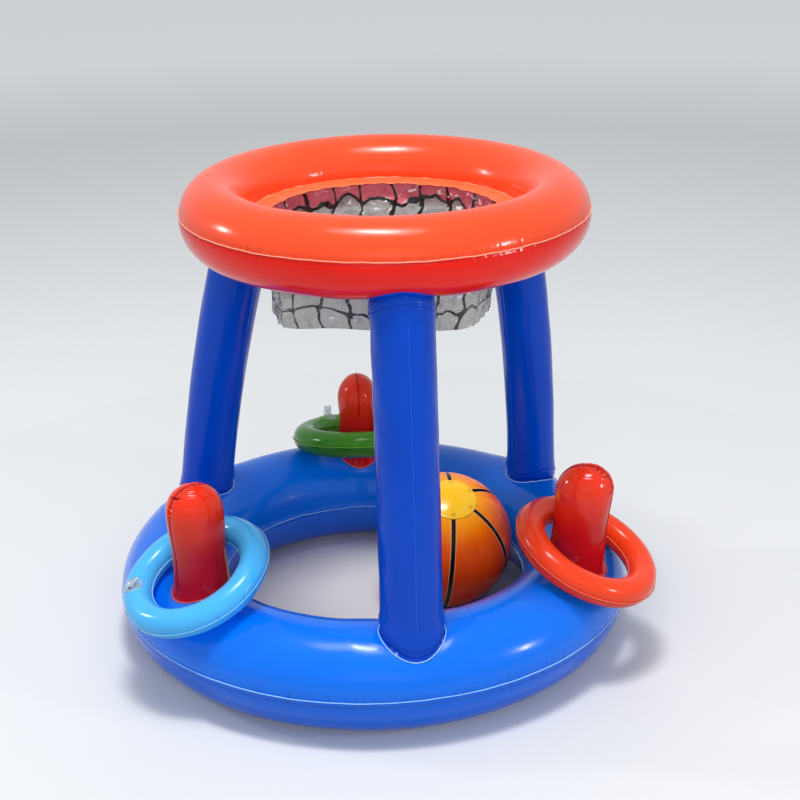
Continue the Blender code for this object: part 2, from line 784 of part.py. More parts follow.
def build():
    for thing in list(bpy.data.objects):
        bpy.data.objects.remove(thing)
    materials = make_materials()
    base = base_tube()
    hoop = hoop_tube()

    section = seamed_section(BASE_TUBE_R, BASE_TUBE_R, BASE_SECTION, (0.0, 180.0), SEAM_PROUD)
    float_body = ring_body("base_ring", base, section, BASE_SIDES, materials["float"])
    seam_rise = math.degrees(HOOP_SEAM_RISE / HOOP_TUBE_HALF_H)
    section = seamed_section(HOOP_TUBE_HALF_W, HOOP_TUBE_HALF_H, HOOP_SECTION, (seam_rise, 180.0), SEAM_PROUD)
    hoop_body = ring_body("hoop_ring", hoop, section, HOOP_SIDES, materials["hoop"])

    for leg in LEGS:
        make_leg(base, hoop, leg, materials["leg"], materials["weld"])
    for peg in PEGS:
        make_peg(base, peg, materials["peg"], materials["peg_weld"])
    make_band(hoop, materials["band"])
    make_net(hoop, materials["net"])

    place, axis = base.skin(BASE_VALVE_AZIMUTH, BASE_VALVE_RISE)
    fit_valve("base", base, place, axis, True, float_body, materials, None)
    place, axis = hoop.skin(HOOP_VALVE_AZIMUTH, HOOP_VALVE_RISE)
    fit_valve("hoop", hoop, place, axis, True, hoop_body, materials, None)

    section = seamed_section(TOSS_TUBE_R, TOSS_TUBE_R, TOSS_SECTION, (0.0, 180.0), 0.7 * SEAM_PROUD)
    for toss_ring in TOSS_RINGS:
        colour, peg_index, _, _, _, valve_azimuth, pushed_in = toss_ring
        tube = toss_tube(base, toss_ring)
        pivot = make_pivot(f"slide_{colour}", tube.centre)
        ring = ring_body(f"toss_ring_{colour}", tube, section, TOSS_SIDES, materials[colour])
        hang_on(ring, pivot, tube.centre)
        place, axis = tube.skin(valve_azimuth - PEGS[peg_index][1], 90.0)
        fit_valve(f"ring_{colour}", tube, place, axis, pushed_in, ring, materials, pivot)

    middle = ball_place(base)
    frame = ball_frame()
    pivot = make_pivot("slide_ball", middle)
    ball = make_ball(middle, frame, materials["ball"])
    hang_on(ball, pivot, middle)
    for name, turned in (("ball_cap_upper", False), ("ball_cap_lower", True)):
        hang_on(make_ball_cap(name, middle, frame, turned, materials["cap"]), pivot, middle)
    rise = math.radians(BALL_VALVE_RISE)
    axis = outward(BALL_VALVE_AZIMUTH) * math.cos(rise) + UP * math.sin(rise)
    place = middle + axis * (0.5 * BALL_D)
    fit_valve("ball", Sphere(middle, 0.5 * BALL_D), place, axis, True, ball, materials, pivot)
    centre_on_origin()


build()
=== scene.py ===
"""Looks of an inflatable basketball hoop with toss rings and a ball.

Metres, +Z up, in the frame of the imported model. Every chamber is a smooth
skin with weld fins, puckers and creases, and each one replaces its plain solid.
"""

import math
from collections import namedtuple

import bmesh
import bpy
import numpy as np
from mathutils import Matrix, Vector


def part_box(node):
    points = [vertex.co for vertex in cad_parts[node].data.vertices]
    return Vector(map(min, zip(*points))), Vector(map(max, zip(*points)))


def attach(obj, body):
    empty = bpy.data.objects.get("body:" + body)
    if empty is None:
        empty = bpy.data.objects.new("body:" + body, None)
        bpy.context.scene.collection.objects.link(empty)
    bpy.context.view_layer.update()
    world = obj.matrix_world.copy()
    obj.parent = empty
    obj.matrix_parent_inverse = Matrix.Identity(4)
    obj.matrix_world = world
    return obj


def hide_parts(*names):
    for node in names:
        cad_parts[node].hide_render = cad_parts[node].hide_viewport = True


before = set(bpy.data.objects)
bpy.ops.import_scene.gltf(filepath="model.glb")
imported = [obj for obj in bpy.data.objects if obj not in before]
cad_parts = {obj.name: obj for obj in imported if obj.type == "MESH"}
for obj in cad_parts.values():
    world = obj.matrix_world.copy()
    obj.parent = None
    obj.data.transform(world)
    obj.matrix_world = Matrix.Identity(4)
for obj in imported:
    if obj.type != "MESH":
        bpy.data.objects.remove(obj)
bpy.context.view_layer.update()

TURN = 2.0 * math.pi
UP = np.array([0.0, 0.0, 1.0])
LEVEL = np.array([1.0, 1.0, 0.0])


# Sizes

# Float
BASE_OUTER_D = 0.610
BASE_TUBE_R = 0.061
BASE_FLAT_SHARE = 0.98982

# Hoop
HOOP_OUTER_D = 0.4624
HOOP_HALF_W = 0.0393
HOOP_HALF_H = 0.0434
HOOP_MID_HEIGHT = 0.5227
HOOP_SHIFT = (0.0225, -0.0101)
HOOP_TILT = -2.2
HOOP_SEAM_RISE = 0.006

# Legs: azimuth of the foot and of the top, half width there, outward bow
Leg = namedtuple("Leg", "name foot_azimuth top_azimuth foot_half top_half bow")
LEGS = (
    Leg("front", -77.7, -82.6, 0.0345, 0.0343, 0.0035),
    Leg("back_right", 39.6, 41.3, 0.0297, 0.0323, 0.0090),
    Leg("back_left", 149.8, 150.4, 0.0333, 0.0352, 0.0082),
)
LEG_TOP_HALF_RADIAL = 0.0262
LEG_TOP_NECK = 0.050
LEG_FOOT_OUTSET = 0.010
LEG_END_SWELL = 0.0016
LEG_END_TUCK = 0.0028

# Pegs: how far outside the crest the foot stands, height, lean, girth as a
# share, strength of the folds over the dome
Peg = namedtuple("Peg", "name azimuth outset height lean girth folds")
PEGS = (
    Peg("left", 218.1, -0.0056, 0.127, 3.0, 1.0, 1.0),
    Peg("right", -16.7, 0.0077, 0.117, 6.0, 1.0, 0.8),
    Peg("back", 97.2, -0.0067, 0.102, 2.5, 0.88, 0.12),
)
PEG_HALF_RADIAL = 0.0345
PEG_HALF_ACROSS = 0.0310
PEG_DOME = 0.034
PEG_BASE_BLEND = 0.055
PEG_DOME_SHAPE = 0.86
PEG_FIN_WIDTH = 0.0016
PEG_FIN_THICKNESS = 0.0009

# Toss rings: azimuth of the peg, tilt, azimuth of the valve, neck pushed in
TossRing = namedtuple("TossRing", "name azimuth tilt valve_azimuth pushed_in")
TOSS_RINGS = (
    TossRing("blue", 218.1, 25.0, 182.0, True),
    TossRing("red", -16.7, 26.0, 96.0, True),
    TossRing("green", 97.2, 13.0, 131.0, False),
)
TOSS_OUTER_D = 0.1776
TOSS_TUBE_R = 0.0168

# Ball
BALL_D = 0.1664
BALL_CAP_D = 0.060
BALL_CAP_THICKNESS = 0.0006
BALL_CAP_EDGE = math.asin(BALL_CAP_D / BALL_D)
BALL_POLE = (26.0, -73.0)
BALL_LINES = 6
BALL_SPIN = -11.0
BALL_LINE_WIDTH = 0.0052
BALL_LINE_EDGE = 0.0016

# Net
BAND_WIDTH = 0.0200
BAND_THICKNESS = 0.0012
BAND_DROP = 0.0020
NET_FILM = 0.0005
NET_LENGTH = 0.1130
NET_BOTTOM_R = 0.1210
NET_BOTTOM_DEPTH = 0.88
NET_BOTTOM_SHIFT = -0.006
NET_FOLDS = 7
NET_FOLD_DEPTH = 0.0030
NET_HEM_WAVE = 0.0025
NET_HEM_DIP = 0.0060
NET_CELL = 0.034
NET_COLUMNS = 24
NET_FIRST_ROW = 0.026
NET_LINE_WIDTH = 0.0037
NET_ROWS = 64
NET_CREASES = 150
NET_CREASE_DEPTH = 0.0026
NET_PLEATS = 34.0
NET_PLEAT_DEPTH = 0.0042

# Welds
FIN_PROUD = 0.0013
FIN_THICKNESS = 0.0010
FLANGE_WIDTH = 0.0024
FLANGE_THICKNESS = 0.0008
FLANGE_LINE = 0.0011
LINE_WIDTH = 0.0008
DENT_DEPTH = 0.0016
DENT_REACH = 0.011
BULGE = 0.0009
BULGE_AT = 0.030
BULGE_REACH = 0.016
CREASE_SHADE = 0.45
SHADE_BELOW_EDGE = 0.0016
SEAM_DEPTH = 0.0007
SEAM_REACH = 0.0030
PRESSED_WIDTH = 0.0010
END_TUCK = 0.0006
SEAT_START = 0.004
SEAM_OFFSETS = (0.0, 0.0008, 0.0018, 0.0032, 0.0050, 0.0075, 0.0110, 0.0155, 0.0210)

# Puckers that cross a seam
Puckers = namedtuple("Puckers", "spacing depth reach width")
BASE_PUCKERS = Puckers(0.012, 0.00055, 0.012, 0.0019)
HOOP_PUCKERS = Puckers(0.016, 0.00050, 0.010, 0.0017)
TOSS_PUCKERS = Puckers(0.011, 0.00040, 0.0050, 0.0013)
LEG_END_PUCKERS = Puckers(0.013, 0.0007, 0.011, 0.0016)
LEG_SEAM_PUCKERS = Puckers(0.030, 0.00030, 0.007, 0.0016)
PEG_DOME_PUCKERS = Puckers(0.0060, 0.0034, 0.0100, 0.00090)
PEG_SEAM_PUCKERS = Puckers(0.021, 0.0004, 0.006, 0.0015)
PEG_FOOT_PUCKERS = Puckers(0.013, 0.0009, 0.011, 0.0016)

# Valves
VALVE_FLANGE_R = 0.0120
VALVE_NECK_R = 0.0051
VALVE_NECK_LENGTH = 0.0110
VALVE_SEAT = 0.0005
VALVE_FLANGE_THICKNESS = 0.0008
VALVE_WELL_R = 0.0088
VALVE_WELL_DEPTH = 0.0044
BASE_VALVE = (122.0, 24.0)
HOOP_VALVE = (78.0, 30.0)
BALL_VALVE = (100.0, 35.0)
PLUG_HEAD_R = 0.0048
PLUG_HEAD_THICKNESS = 0.0020
PLUG_TAB_LENGTH = 0.0050

# Light that the sky gives, and how bright it is where it is seen
SKY_GIVEN = 0.34
SKY_SEEN = 0.64

# Where the floor starts to fade, and how far its fading and its glow reach beyond
FLOOR_NEAR = 0.8
FLOOR_FADE = 1.6
FLOOR_GLOW_REACH = 2.4
FLOOR_GLOW = 0.54


def middle_of(node):
    low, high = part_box(node)
    return 0.5 * (np.array(low) + np.array(high))


FLOAT_AT = middle_of("base_ring") * LEVEL


# Small helpers


def outward(azimuth):
    """Level unit vector along an azimuth in degrees."""
    angle = math.radians(azimuth)
    return np.array([math.cos(angle), math.sin(angle), 0.0])


def level_axes(azimuth):
    """Level unit vectors along an azimuth in degrees and to its left."""
    radial = outward(azimuth)
    return radial, np.array([-radial[1], radial[0], 0.0])


def oval(azimuth, angle, half_radial, half_across):
    """Level offsets of the points round an oval that faces an azimuth."""
    radial, across = level_axes(azimuth)
    out = (half_radial * np.cos(angle))[..., None]
    side = (half_across * np.sin(angle))[..., None]
    return radial * out + across * side


def unit(vector):
    return vector / np.linalg.norm(vector, axis=-1, keepdims=True)


def ease(value):
    value = np.clip(value, 0.0, 1.0)
    return value * value * (3.0 - 2.0 * value)


def bell(offset, width):
    """1 in the middle, fading to both sides."""
    return np.exp(-(offset / width) ** 2)


def wrapped(angle):
    """The same angle within half a turn of zero."""
    return (angle + math.pi) % TURN - math.pi


def round_about(count):
    """Evenly spaced angles, once round."""
    return np.linspace(0.0, TURN, count, endpoint=False)


def rows_near(seams, offsets, spacing, length):
    """Places along a closed line of that length, dense near the seams."""
    stops = [(seam + side * offset) % length for seam in seams for offset in offsets for side in (-1, 1)]
    stops = sorted(set(round(stop, 7) for stop in stops))
    places = []
    for here, there in zip(stops, stops[1:] + [stops[0] + length]):
        parts = max(1, round((there - here) / spacing))
        places += [here + (there - here) * i / parts for i in range(parts)]
    return np.sort(np.array(places) % length)


def ripple(angle, turns, size, seed):
    """Waves round a ring, one for each number of turns."""
    rng = np.random.default_rng(seed)
    return sum(size * np.sin(count * angle + rng.uniform(0.0, 6.0)) for count in turns)


def waves(azimuth, across, amplitude, seed, count=7):
    """Gentle unevenness of a blown up skin."""
    rng = np.random.default_rng(seed)
    lift = 0.0
    for _ in range(count):
        turns = rng.integers(2, 11)
        rolls = rng.integers(0, 4)
        lift = lift + np.sin(turns * azimuth + rolls * across + rng.uniform(0.0, TURN)) / count
    return amplitude * lift


def pucker_lift(along, away, length, seed, puckers):
    """Short folds that cross a seam: along it, and away from it to both sides."""
    rng = np.random.default_rng(seed)
    lift = np.zeros(np.broadcast(along, away).shape)
    place = 0.0
    while place < length:
        deep = puckers.depth * rng.uniform(0.25, 1.0) ** 1.5
        wide = puckers.width * rng.uniform(0.7, 1.5)
        far = puckers.reach * rng.uniform(0.45, 1.2)
        slant = rng.uniform(-0.35, 0.35)
        offset = (along - place + 0.5 * length) % length - 0.5 * length - slant * away
        swell = 0.4 * bell(np.abs(offset) - 2.1 * wide, 1.2 * wide)
        lift -= deep * bell(away, far) * (bell(offset, wide) - swell)
        place += puckers.spacing * rng.uniform(0.4, 1.7)
    return lift


# Skins that other pieces rest on


class RingSkin:
    """A circle with an elliptical tube round it."""

    def __init__(self, centre, turn, ring_r, half_w, half_h):
        self.centre = np.array(centre, float)
        self.turn = np.array(turn, float)
        self.ring_r = ring_r
        self.half_w = half_w
        self.half_h = half_h
        self.mean_r = 0.5 * (half_w + half_h)

    def section_normal(self, angle):
        across = np.cos(angle) / self.half_w
        height = np.sin(angle) / self.half_h
        size = np.hypot(across, height)
        return across / size, height / size

    def put(self, x, y, z):
        """Points given in the ring's own frame."""
        local = np.stack(np.broadcast_arrays(x, y, z), -1)
        return self.centre + local @ self.turn.T

    def at(self, azimuth, angle, lift=0.0):
        """Points at an azimuth and a section angle, both in radians."""
        across, height = self.section_normal(angle)
        reach = self.ring_r + self.half_w * np.cos(angle) + lift * across
        rise = self.half_h * np.sin(angle) + lift * height
        return self.put(reach * np.cos(azimuth), reach * np.sin(azimuth), rise)

    def normal(self, azimuth, angle):
        across, height = self.section_normal(angle)
        local = np.array([across * math.cos(azimuth), across * math.sin(azimuth), height])
        return self.turn @ local

    def clearance(self, points):
        local = (points - self.centre) @ self.turn
        across = np.hypot(local[..., 0], local[..., 1]) - self.ring_r
        reach = np.hypot(across, local[..., 2])
        share = np.hypot(across / self.half_w, local[..., 2] / self.half_h)
        return reach * (1.0 - 1.0 / np.maximum(share, 1e-6))


class BallSkin:
    """A plain ball."""

    def __init__(self, centre, radius):
        self.centre = np.array(centre, float)
        self.radius = radius

    def clearance(self, points):
        return np.linalg.norm(points - self.centre, axis=-1) - self.radius


def strike(skin, points, direction, lift, reach):
    """Move each point along direction until it is lift away from the skin."""
    near = np.zeros(points.shape[:-1])
    far = np.full(points.shape[:-1], reach)
    for _ in range(34):
        middle = 0.5 * (near + far)
        outside = skin.clearance(points + direction * middle[..., None]) > lift
        near = np.where(outside, middle, near)
        far = np.where(outside, far, middle)
    return points + direction * near[..., None]


def seated(skin, points, direction, lift=-DENT_DEPTH - END_TUCK):
    """Points moved along direction on to a skin; a negative lift tucks them in."""
    return strike(skin, points - direction * SEAT_START, direction, lift, SEAT_START + skin.half_h)


# Meshes


def plain_mesh(name, vertices, faces, corner_uv=None, marks=None):
    mesh = bpy.data.meshes.new(name)
    mesh.from_pydata(np.asarray(vertices, float).reshape(-1, 3).tolist(), [], faces)
    for label, values in (marks or {}).items():
        layer = mesh.attributes.new(label, "FLOAT", "POINT")
        layer.data.foreach_set("value", np.asarray(values, np.float32).ravel())
    if corner_uv is not None:
        layer = mesh.uv_layers.new(name="UVMap")
        layer.data.foreach_set("uv", np.asarray(corner_uv, np.float32).ravel())
    return mesh


def grid_mesh(name, points, wrap_v=False, **marks):
    """Quads over a grid of points, closed round its first direction.

    Marks are values for each point, such as how deep it lies in a crease, where its colour is darkened as
    painted shade.
    """
    count_u, count_v = points.shape[:2]
    marks = {label: np.broadcast_to(values, (count_u, count_v)) for label, values in marks.items()}
    index = np.arange(count_u * count_v).reshape(count_u, count_v)
    last = count_v if wrap_v else count_v - 1
    here = index[:, :last]
    beside = np.roll(index, -1, axis=0)[:, :last]
    above = np.roll(index, -1, axis=1)[:, :last]
    beside_above = np.roll(np.roll(index, -1, axis=0), -1, axis=1)[:, :last]
    faces = np.stack([here, beside, beside_above, above], -1).reshape(-1, 4)
    share_u = np.arange(count_u + 1) / count_u
    share_v = np.arange(last + 1) / last
    low_u, low_v = np.meshgrid(share_u[:-1], share_v[:-1], indexing="ij")
    high_u, high_v = np.meshgrid(share_u[1:], share_v[1:], indexing="ij")
    corners = [(low_u, low_v), (high_u, low_v), (high_u, high_v), (low_u, high_v)]
    corner_uv = np.stack([np.stack(pair, -1) for pair in corners], 2)
    return plain_mesh(name, points, faces.tolist(), corner_uv, marks)


def tidy_mesh(mesh, merge=1e-6, sharp=None):
    """Merge the doubles, turn the faces outwards and shade the mesh smooth."""
    work = bmesh.new()
    work.from_mesh(mesh)
    bmesh.ops.remove_doubles(work, verts=work.verts, dist=merge)
    loose = [vertex for vertex in work.verts if not vertex.link_faces]
    bmesh.ops.delete(work, geom=loose, context="VERTS")
    bmesh.ops.recalc_face_normals(work, faces=work.faces)
    work.to_mesh(mesh)
    work.free()
    mesh.shade_smooth()
    if sharp is not None:
        mesh.set_sharp_from_angle(angle=math.radians(sharp))
    return mesh


def set_v(mesh, values):
    """Give each corner the value of its row of the grid as its V."""
    uv = mesh.uv_layers["UVMap"].data
    flat = np.zeros(len(uv) * 2, np.float32)
    uv.foreach_get("uv", flat)
    flat = flat.reshape(-1, 2)
    rows = np.round(flat[:, 1] * (len(values) - 1)).astype(int)
    flat[:, 1] = values[rows]
    uv.foreach_set("uv", flat.ravel())


def painted(mesh, label):
    mesh.materials.append(MATERIALS[label])
    return mesh


def show(node, ending, parts, body):
    """Join meshes to one piece that rides on a body and stands for a CAD node."""
    things = [bpy.data.objects.new(node + ending, mesh) for mesh in parts]
    for thing in things:
        bpy.context.scene.collection.objects.link(thing)
    piece = things[0]
    if len(things) > 1:
        with bpy.context.temp_override(active_object=piece, selected_editable_objects=things):
            bpy.ops.object.join()
    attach(piece, body)
    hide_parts(node)
    return piece


# Node trees


class Value:
    """An output of a node. Reckoning with it adds Math nodes to its tree."""

    def __init__(self, socket):
        self.socket = socket
        self.tree = socket.id_data

    def __add__(self, other):
        return reckon("ADD", self, other)

    def __sub__(self, other):
        return reckon("SUBTRACT", self, other)

    def __rsub__(self, other):
        return reckon("SUBTRACT", other, self)

    def __mul__(self, other):
        return reckon("MULTIPLY", self, other)

    def __truediv__(self, other):
        return reckon("DIVIDE", self, other)

    def __abs__(self):
        return reckon("ABSOLUTE", self)

    def clamped(self):
        """Keep the last result between 0 and 1."""
        self.socket.node.use_clamp = True
        return self


def feed(inputs, values):
    """Give a node's inputs numbers, colours or outputs of other nodes."""
    for label, value in values.items():
        if isinstance(value, Value):
            value.tree.links.new(value.socket, inputs[label])
        elif isinstance(value, tuple) and inputs[label].type == "RGBA":
            inputs[label].default_value = (*value, 1.0)
        else:
            inputs[label].default_value = value


def add(tree, kind, inputs=None, **settings):
    """A new node; gives back its outputs, by number and by name."""
    node = tree.nodes.new(kind)
    for label, value in settings.items():
        setattr(node, label, value)
    feed(node.inputs, inputs or {})
    outputs = {socket.name: Value(socket) for socket in node.outputs}
    return outputs | {number: Value(socket) for number, socket in enumerate(node.outputs)}


def tree_of(values):
    return next(value.tree for value in values if isinstance(value, Value))


def reckon(operation, *values):
    """The result of a Math node on outputs and plain numbers."""
    return add(tree_of(values), "ShaderNodeMath", dict(enumerate(values)), operation=operation)[0]


def mix(share, first, second):
    """A colour between the first and the second."""
    inputs = {0: share, 6: first, 7: second}
    return add(tree_of(inputs.values()), "ShaderNodeMix", inputs, data_type="RGBA")[2]


def new_tree(name, kind, inputs, outputs):
    """A group with named inputs, each given by its first value or else its kind."""
    tree = bpy.data.node_groups.new(name, kind)
    kinds = {float: "Float", int: "Int", tuple: "Color"}
    for label, value in inputs.items():
        given = kinds.get(type(value), value)
        socket = tree.interface.new_socket(label, in_out="INPUT", socket_type="NodeSocket" + given)
        if given != value:
            socket.default_value = value
    for label, given in outputs.items():
        tree.interface.new_socket(label, in_out="OUTPUT", socket_type="NodeSocket" + given)
    start = tree.nodes.new("NodeGroupInput").outputs
    end = tree.nodes.new("NodeGroupOutput").inputs
    return tree, {socket.name: Value(socket) for socket in start}, end


# Geometry node trees


def geometry_tree(name, sizes):
    inputs = {"Geometry": "Geometry", **sizes, "Material": "Material"}
    return new_tree(name, "GeometryNodeTree", inputs, {"Geometry": "Geometry"})


def close_tree(tree, geometry, given, out):
    """Realize Instances and Set Material close each tree."""
    real = add(tree, "GeometryNodeRealizeInstances", {"Geometry": geometry})
    inputs = {"Geometry": real["Geometry"], "Material": given["Material"]}
    feed(out, {"Geometry": add(tree, "GeometryNodeSetMaterial", inputs)["Geometry"]})
    return tree


def make_fin_tree():
    """A flat fin or strip swept along a path of edges."""
    tree, given, out = geometry_tree("weld fin along a path", {"Width": 0.001, "Height": 0.001})
    sides = {side: given[side] for side in ("Width", "Height")}
    line = add(tree, "GeometryNodeMeshToCurve", {"Mesh": given["Geometry"]})
    profile = add(tree, "GeometryNodeCurvePrimitiveQuadrilateral", sides)
    inputs = {"Curve": profile["Curve"], "Radius": reckon("MINIMUM", *sides.values()) * 0.3}
    rounded = add(tree, "GeometryNodeFilletCurve", inputs, mode="POLY")
    inputs = {"Curve": line["Curve"], "Profile Curve": rounded["Curve"], "Fill Caps": True}
    sweep = add(tree, "GeometryNodeCurveToMesh", inputs)
    return close_tree(tree, sweep["Mesh"], given, out)


def make_rib_tree():
    """Small ribs that stand round a circle, such as those in a valve's well."""
    sizes = {"Count": 12, "Radius": 0.007, "Length": 0.003, "Thickness": 0.0005, "Height": 0.0006}
    tree, given, out = geometry_tree("ribs round a circle", sizes)
    circle = add(tree, "GeometryNodeMeshCircle", {"Vertices": given["Count"], "Radius": given["Radius"]})
    sides = {"X": given["Length"], "Y": given["Thickness"], "Z": given["Height"]}
    size = add(tree, "ShaderNodeCombineXYZ", sides)
    rib = add(tree, "GeometryNodeMeshCube", {"Size": size["Vector"]})
    spot = add(tree, "GeometryNodeInputPosition")
    aim = add(tree, "FunctionNodeAlignRotationToVector", {"Vector": spot["Position"]}, axis="X")
    inputs = {"Points": circle["Mesh"], "Instance": rib["Mesh"], "Rotation": aim["Rotation"]}
    put = add(tree, "GeometryNodeInstanceOnPoints", inputs)
    return close_tree(tree, put["Instances"], given, out)


def run_tree(tree, mesh, values):
    """The plain mesh that a tree makes of a mesh with these input values."""
    thing = bpy.data.objects.new("tree source", mesh)
    bpy.context.scene.collection.objects.link(thing)
    modifier = thing.modifiers.new("tree", "NODES")
    modifier.node_group = tree
    for item in tree.interface.items_tree:
        if item.in_out == "INPUT" and item.name in values:
            modifier[item.identifier] = values[item.name]
    bpy.context.view_layer.update()
    made = bpy.data.meshes.new_from_object(thing.evaluated_get(bpy.context.evaluated_depsgraph_get()))
    bpy.data.objects.remove(thing)
    return made


def path_mesh(points, closed):
    count = len(points)
    edges = [(i, (i + 1) % count) for i in range(count if closed else count - 1)]
    mesh = bpy.data.meshes.new("path")
    mesh.from_pydata(np.asarray(points, float).tolist(), edges, [])
    return mesh


FIN_TREE = make_fin_tree()
RIB_TREE = make_rib_tree()


def fin(points, closed, width, height, material):
    values = {"Width": width, "Height": height, "Material": material}
    return tidy_mesh(run_tree(FIN_TREE, path_mesh(points, closed), values), sharp=50.0)


# Shader node groups and materials


def noise(where, scale, detail=2.0, roughness=0.5, output="Fac"):
    inputs = {"Vector": where, "Scale": scale, "Detail": detail, "Roughness": roughness}
    return add(where.tree, "ShaderNodeTexNoise", inputs)[output]


def mark(tree, label):
    """A value that the mesh carries at each of its points."""
    return add(tree, "ShaderNodeAttribute", attribute_name=label)["Fac"]


def flat_place(tree):
    """The place on the unrolled mesh, whole and split."""
    uv = add(tree, "ShaderNodeUVMap", uv_map="UVMap")["UV"]
    return uv, add(tree, "ShaderNodeSeparateXYZ", {"Vector": uv})


def make_film_group():
    """Cloudy colour, uneven gloss and fine ripples of vinyl film, with painted shade below the seam and in
    creases.
    """
    grey, dark_grey = (0.5, 0.5, 0.5, 1.0), (0.3, 0.3, 0.3, 1.0)
    group, given, out = new_tree(
        "film surface",
        "ShaderNodeTree",
        {"Colour": grey, "Deep colour": dark_grey, "Painted shade colour": dark_grey, "Gloss": 0.2, "Ripple": 0.2},
        {"Colour": "Color", "Roughness": "Float", "Normal": "Vector"},
    )
    where = add(group, "ShaderNodeTexCoord")["Object"]
    share = ((noise(where, 9.0, 3.0) - 0.35).clamped() * 0.9).clamped()
    cloudy = mix(share, given["Colour"], given["Deep colour"])
    # Painted shade: below a ring's seam, and towards a peg's foot, the colour turns to the shade colour.
    shaded_below = mix(mark(group, "under"), cloudy, given["Painted shade colour"])
    # Painted shade in creases: there the colour turns towards near black.
    dark = mix(0.90, given["Painted shade colour"], (0.004, 0.001, 0.002))
    smear = (noise(where, 45.0, 4.0, 0.6) - 0.5) * 0.16
    height = noise(where, 1400.0) * 0.02 + noise(where, 26.0)
    inputs = {"Distance": 0.002, "Height": height, "Strength": given["Ripple"]}
    feed(out, {
        "Colour": mix(mark(group, "crease"), shaded_below, dark),
        "Roughness": (given["Gloss"] + smear).clamped(),
        "Normal": add(group, "ShaderNodeBump", inputs)["Normal"],
    })
    return group


def make_ball_group():
    """Mask of the lines that run from pole to pole."""
    sizes = {"Lines": 6.0, "Width": 0.005, "Radius": 0.083}
    group, given, out = new_tree("ball lines", "ShaderNodeTree", sizes, {"Mask": "Float", "Polar": "Float"})
    _, flat = flat_place(group)
    cell = reckon("FRACT", flat["X"] * given["Lines"]) - 0.5
    polar = flat["Y"] * math.pi
    arc = reckon("SINE", polar) * given["Radius"] * TURN / given["Lines"]
    inside = (given["Width"] * 0.5 - abs(cell) * arc) / 0.0004
    feed(out, {"Mask": (inside + 0.5).clamped(), "Polar": polar})
    return group


def make_net_group():
    """Masks of the printed net and its first row, the crinkles of its film, and glints of painted highlight.
    """
    sizes = {"Columns": 24.0, "Cell": 0.034, "First row": 0.026, "Length": 0.104, "Line width": 0.003}
    masks = ("Cord", "First row", "Crease", "Facet", "Painted glint")
    group, given, out = new_tree("printed net", "ShaderNodeTree", sizes, dict.fromkeys(masks, "Float"))
    where = add(group, "ShaderNodeTexCoord")["Object"]
    bend, shake = (
        add(group, "ShaderNodeSeparateColor", {"Color": noise(where, scale, 1.0, output="Color")})
        for scale in (17.0, 44.0)
    )
    uv, flat = flat_place(group)

    def wobble(channel, size):
        return (bend[channel] - 0.5 + (shake[channel] - 0.5) * 0.34) * size

    def from_line(place):
        return reckon("FRACT", place + 0.5) - 0.5

    def away(place):
        return reckon("MAXIMUM", abs(from_line(place)), 0.002)

    # Cords sag between the columns, and thicken to knots where they cross
    across = flat["X"] * given["Columns"] + wobble("Red", 1.25)
    down = (flat["Y"] * given["Length"] - given["First row"]) / given["Cell"]
    down = down + wobble("Green", 1.1) + away(across) * 0.30
    half = given["Line width"] / given["Cell"] * 0.5
    cord = half - reckon("MINIMUM", away(across), away(down))
    crossing = away(across) * away(across) + away(down) * away(down)
    knot = half * 2.1 - reckon("SQRT", crossing)
    mask = (reckon("MAXIMUM", cord, knot) * 60.0 + 0.5).clamped()

    # Loose cord ends beside some of the knots
    side = from_line(across) - (from_line(down) * 0.55 + 0.03)
    tail = (reckon("MINIMUM", 0.030 - abs(side), 0.13 - away(down)) * 90.0).clamped()
    tail = tail * reckon("GREATER_THAN", bend["Blue"], 0.47)

    # Straight crinkles of stiff film, the small facets between them, and streaks of painted highlight
    inputs = {"Vector": where, "Rotation": (0.5, 0.3, 0.6), "Scale": (1.0, 1.0, 2.6)}
    inputs = {"Vector": add(group, "ShaderNodeMapping", inputs)["Vector"], "Scale": 30.0}
    crinkle = add(group, "ShaderNodeTexVoronoi", inputs, feature="DISTANCE_TO_EDGE")["Distance"]
    line = ((0.016 - crinkle) / 0.016).clamped()
    facet = add(group, "ShaderNodeTexVoronoi", {"Vector": where, "Scale": 70.0, "Detail": 1.0})
    long_way = add(group, "ShaderNodeMapping", {"Vector": uv, "Scale": (58.0, 15.0, 1.0)})
    feed(out, {
        "Cord": reckon("MAXIMUM", mask, tail),
        "First row": (down * -14.0).clamped(),
        "Crease": line * ((noise(where, 30.0) - 0.46) * 7.0).clamped(),
        "Facet": facet["Distance"],
        "Painted glint": ((noise(long_way["Vector"], 1.0, 3.0) - 0.635) * 26.0).clamped(),
    })
    return group


FILM_GROUP = make_film_group()
BALL_GROUP = make_ball_group()
NET_GROUP = make_net_group()


def film_nodes(name, colour, deep, gloss=0.20, ripple=0.10, under=None, shine=0.24):
    """A material of film, its tree, its shader's inputs and the film's outputs."""
    material = bpy.data.materials.new(name)
    material.use_nodes = True
    tree = material.node_tree
    colours = {"Colour": colour, "Deep colour": deep, "Painted shade colour": under or deep}
    inputs = {**colours, "Gloss": gloss, "Ripple": ripple}
    film = add(tree, "ShaderNodeGroup", inputs, node_tree=FILM_GROUP)
    shader = tree.nodes["Principled BSDF"].inputs
    feed(shader, {
        "Base Color": film["Colour"],
        "Roughness": film["Roughness"],
        "Normal": film["Normal"],
        "IOR": 1.53,
        "Specular IOR Level": shine,
        "Coat Weight": 0.6 * shine,
        "Coat Roughness": 0.05,
    })
    return material, tree, shader, film


def ball_lines(tree, width):
    inputs = {"Lines": BALL_LINES, "Width": width, "Radius": 0.5 * BALL_D}
    return add(tree, "ShaderNodeGroup", inputs, node_tree=BALL_GROUP)


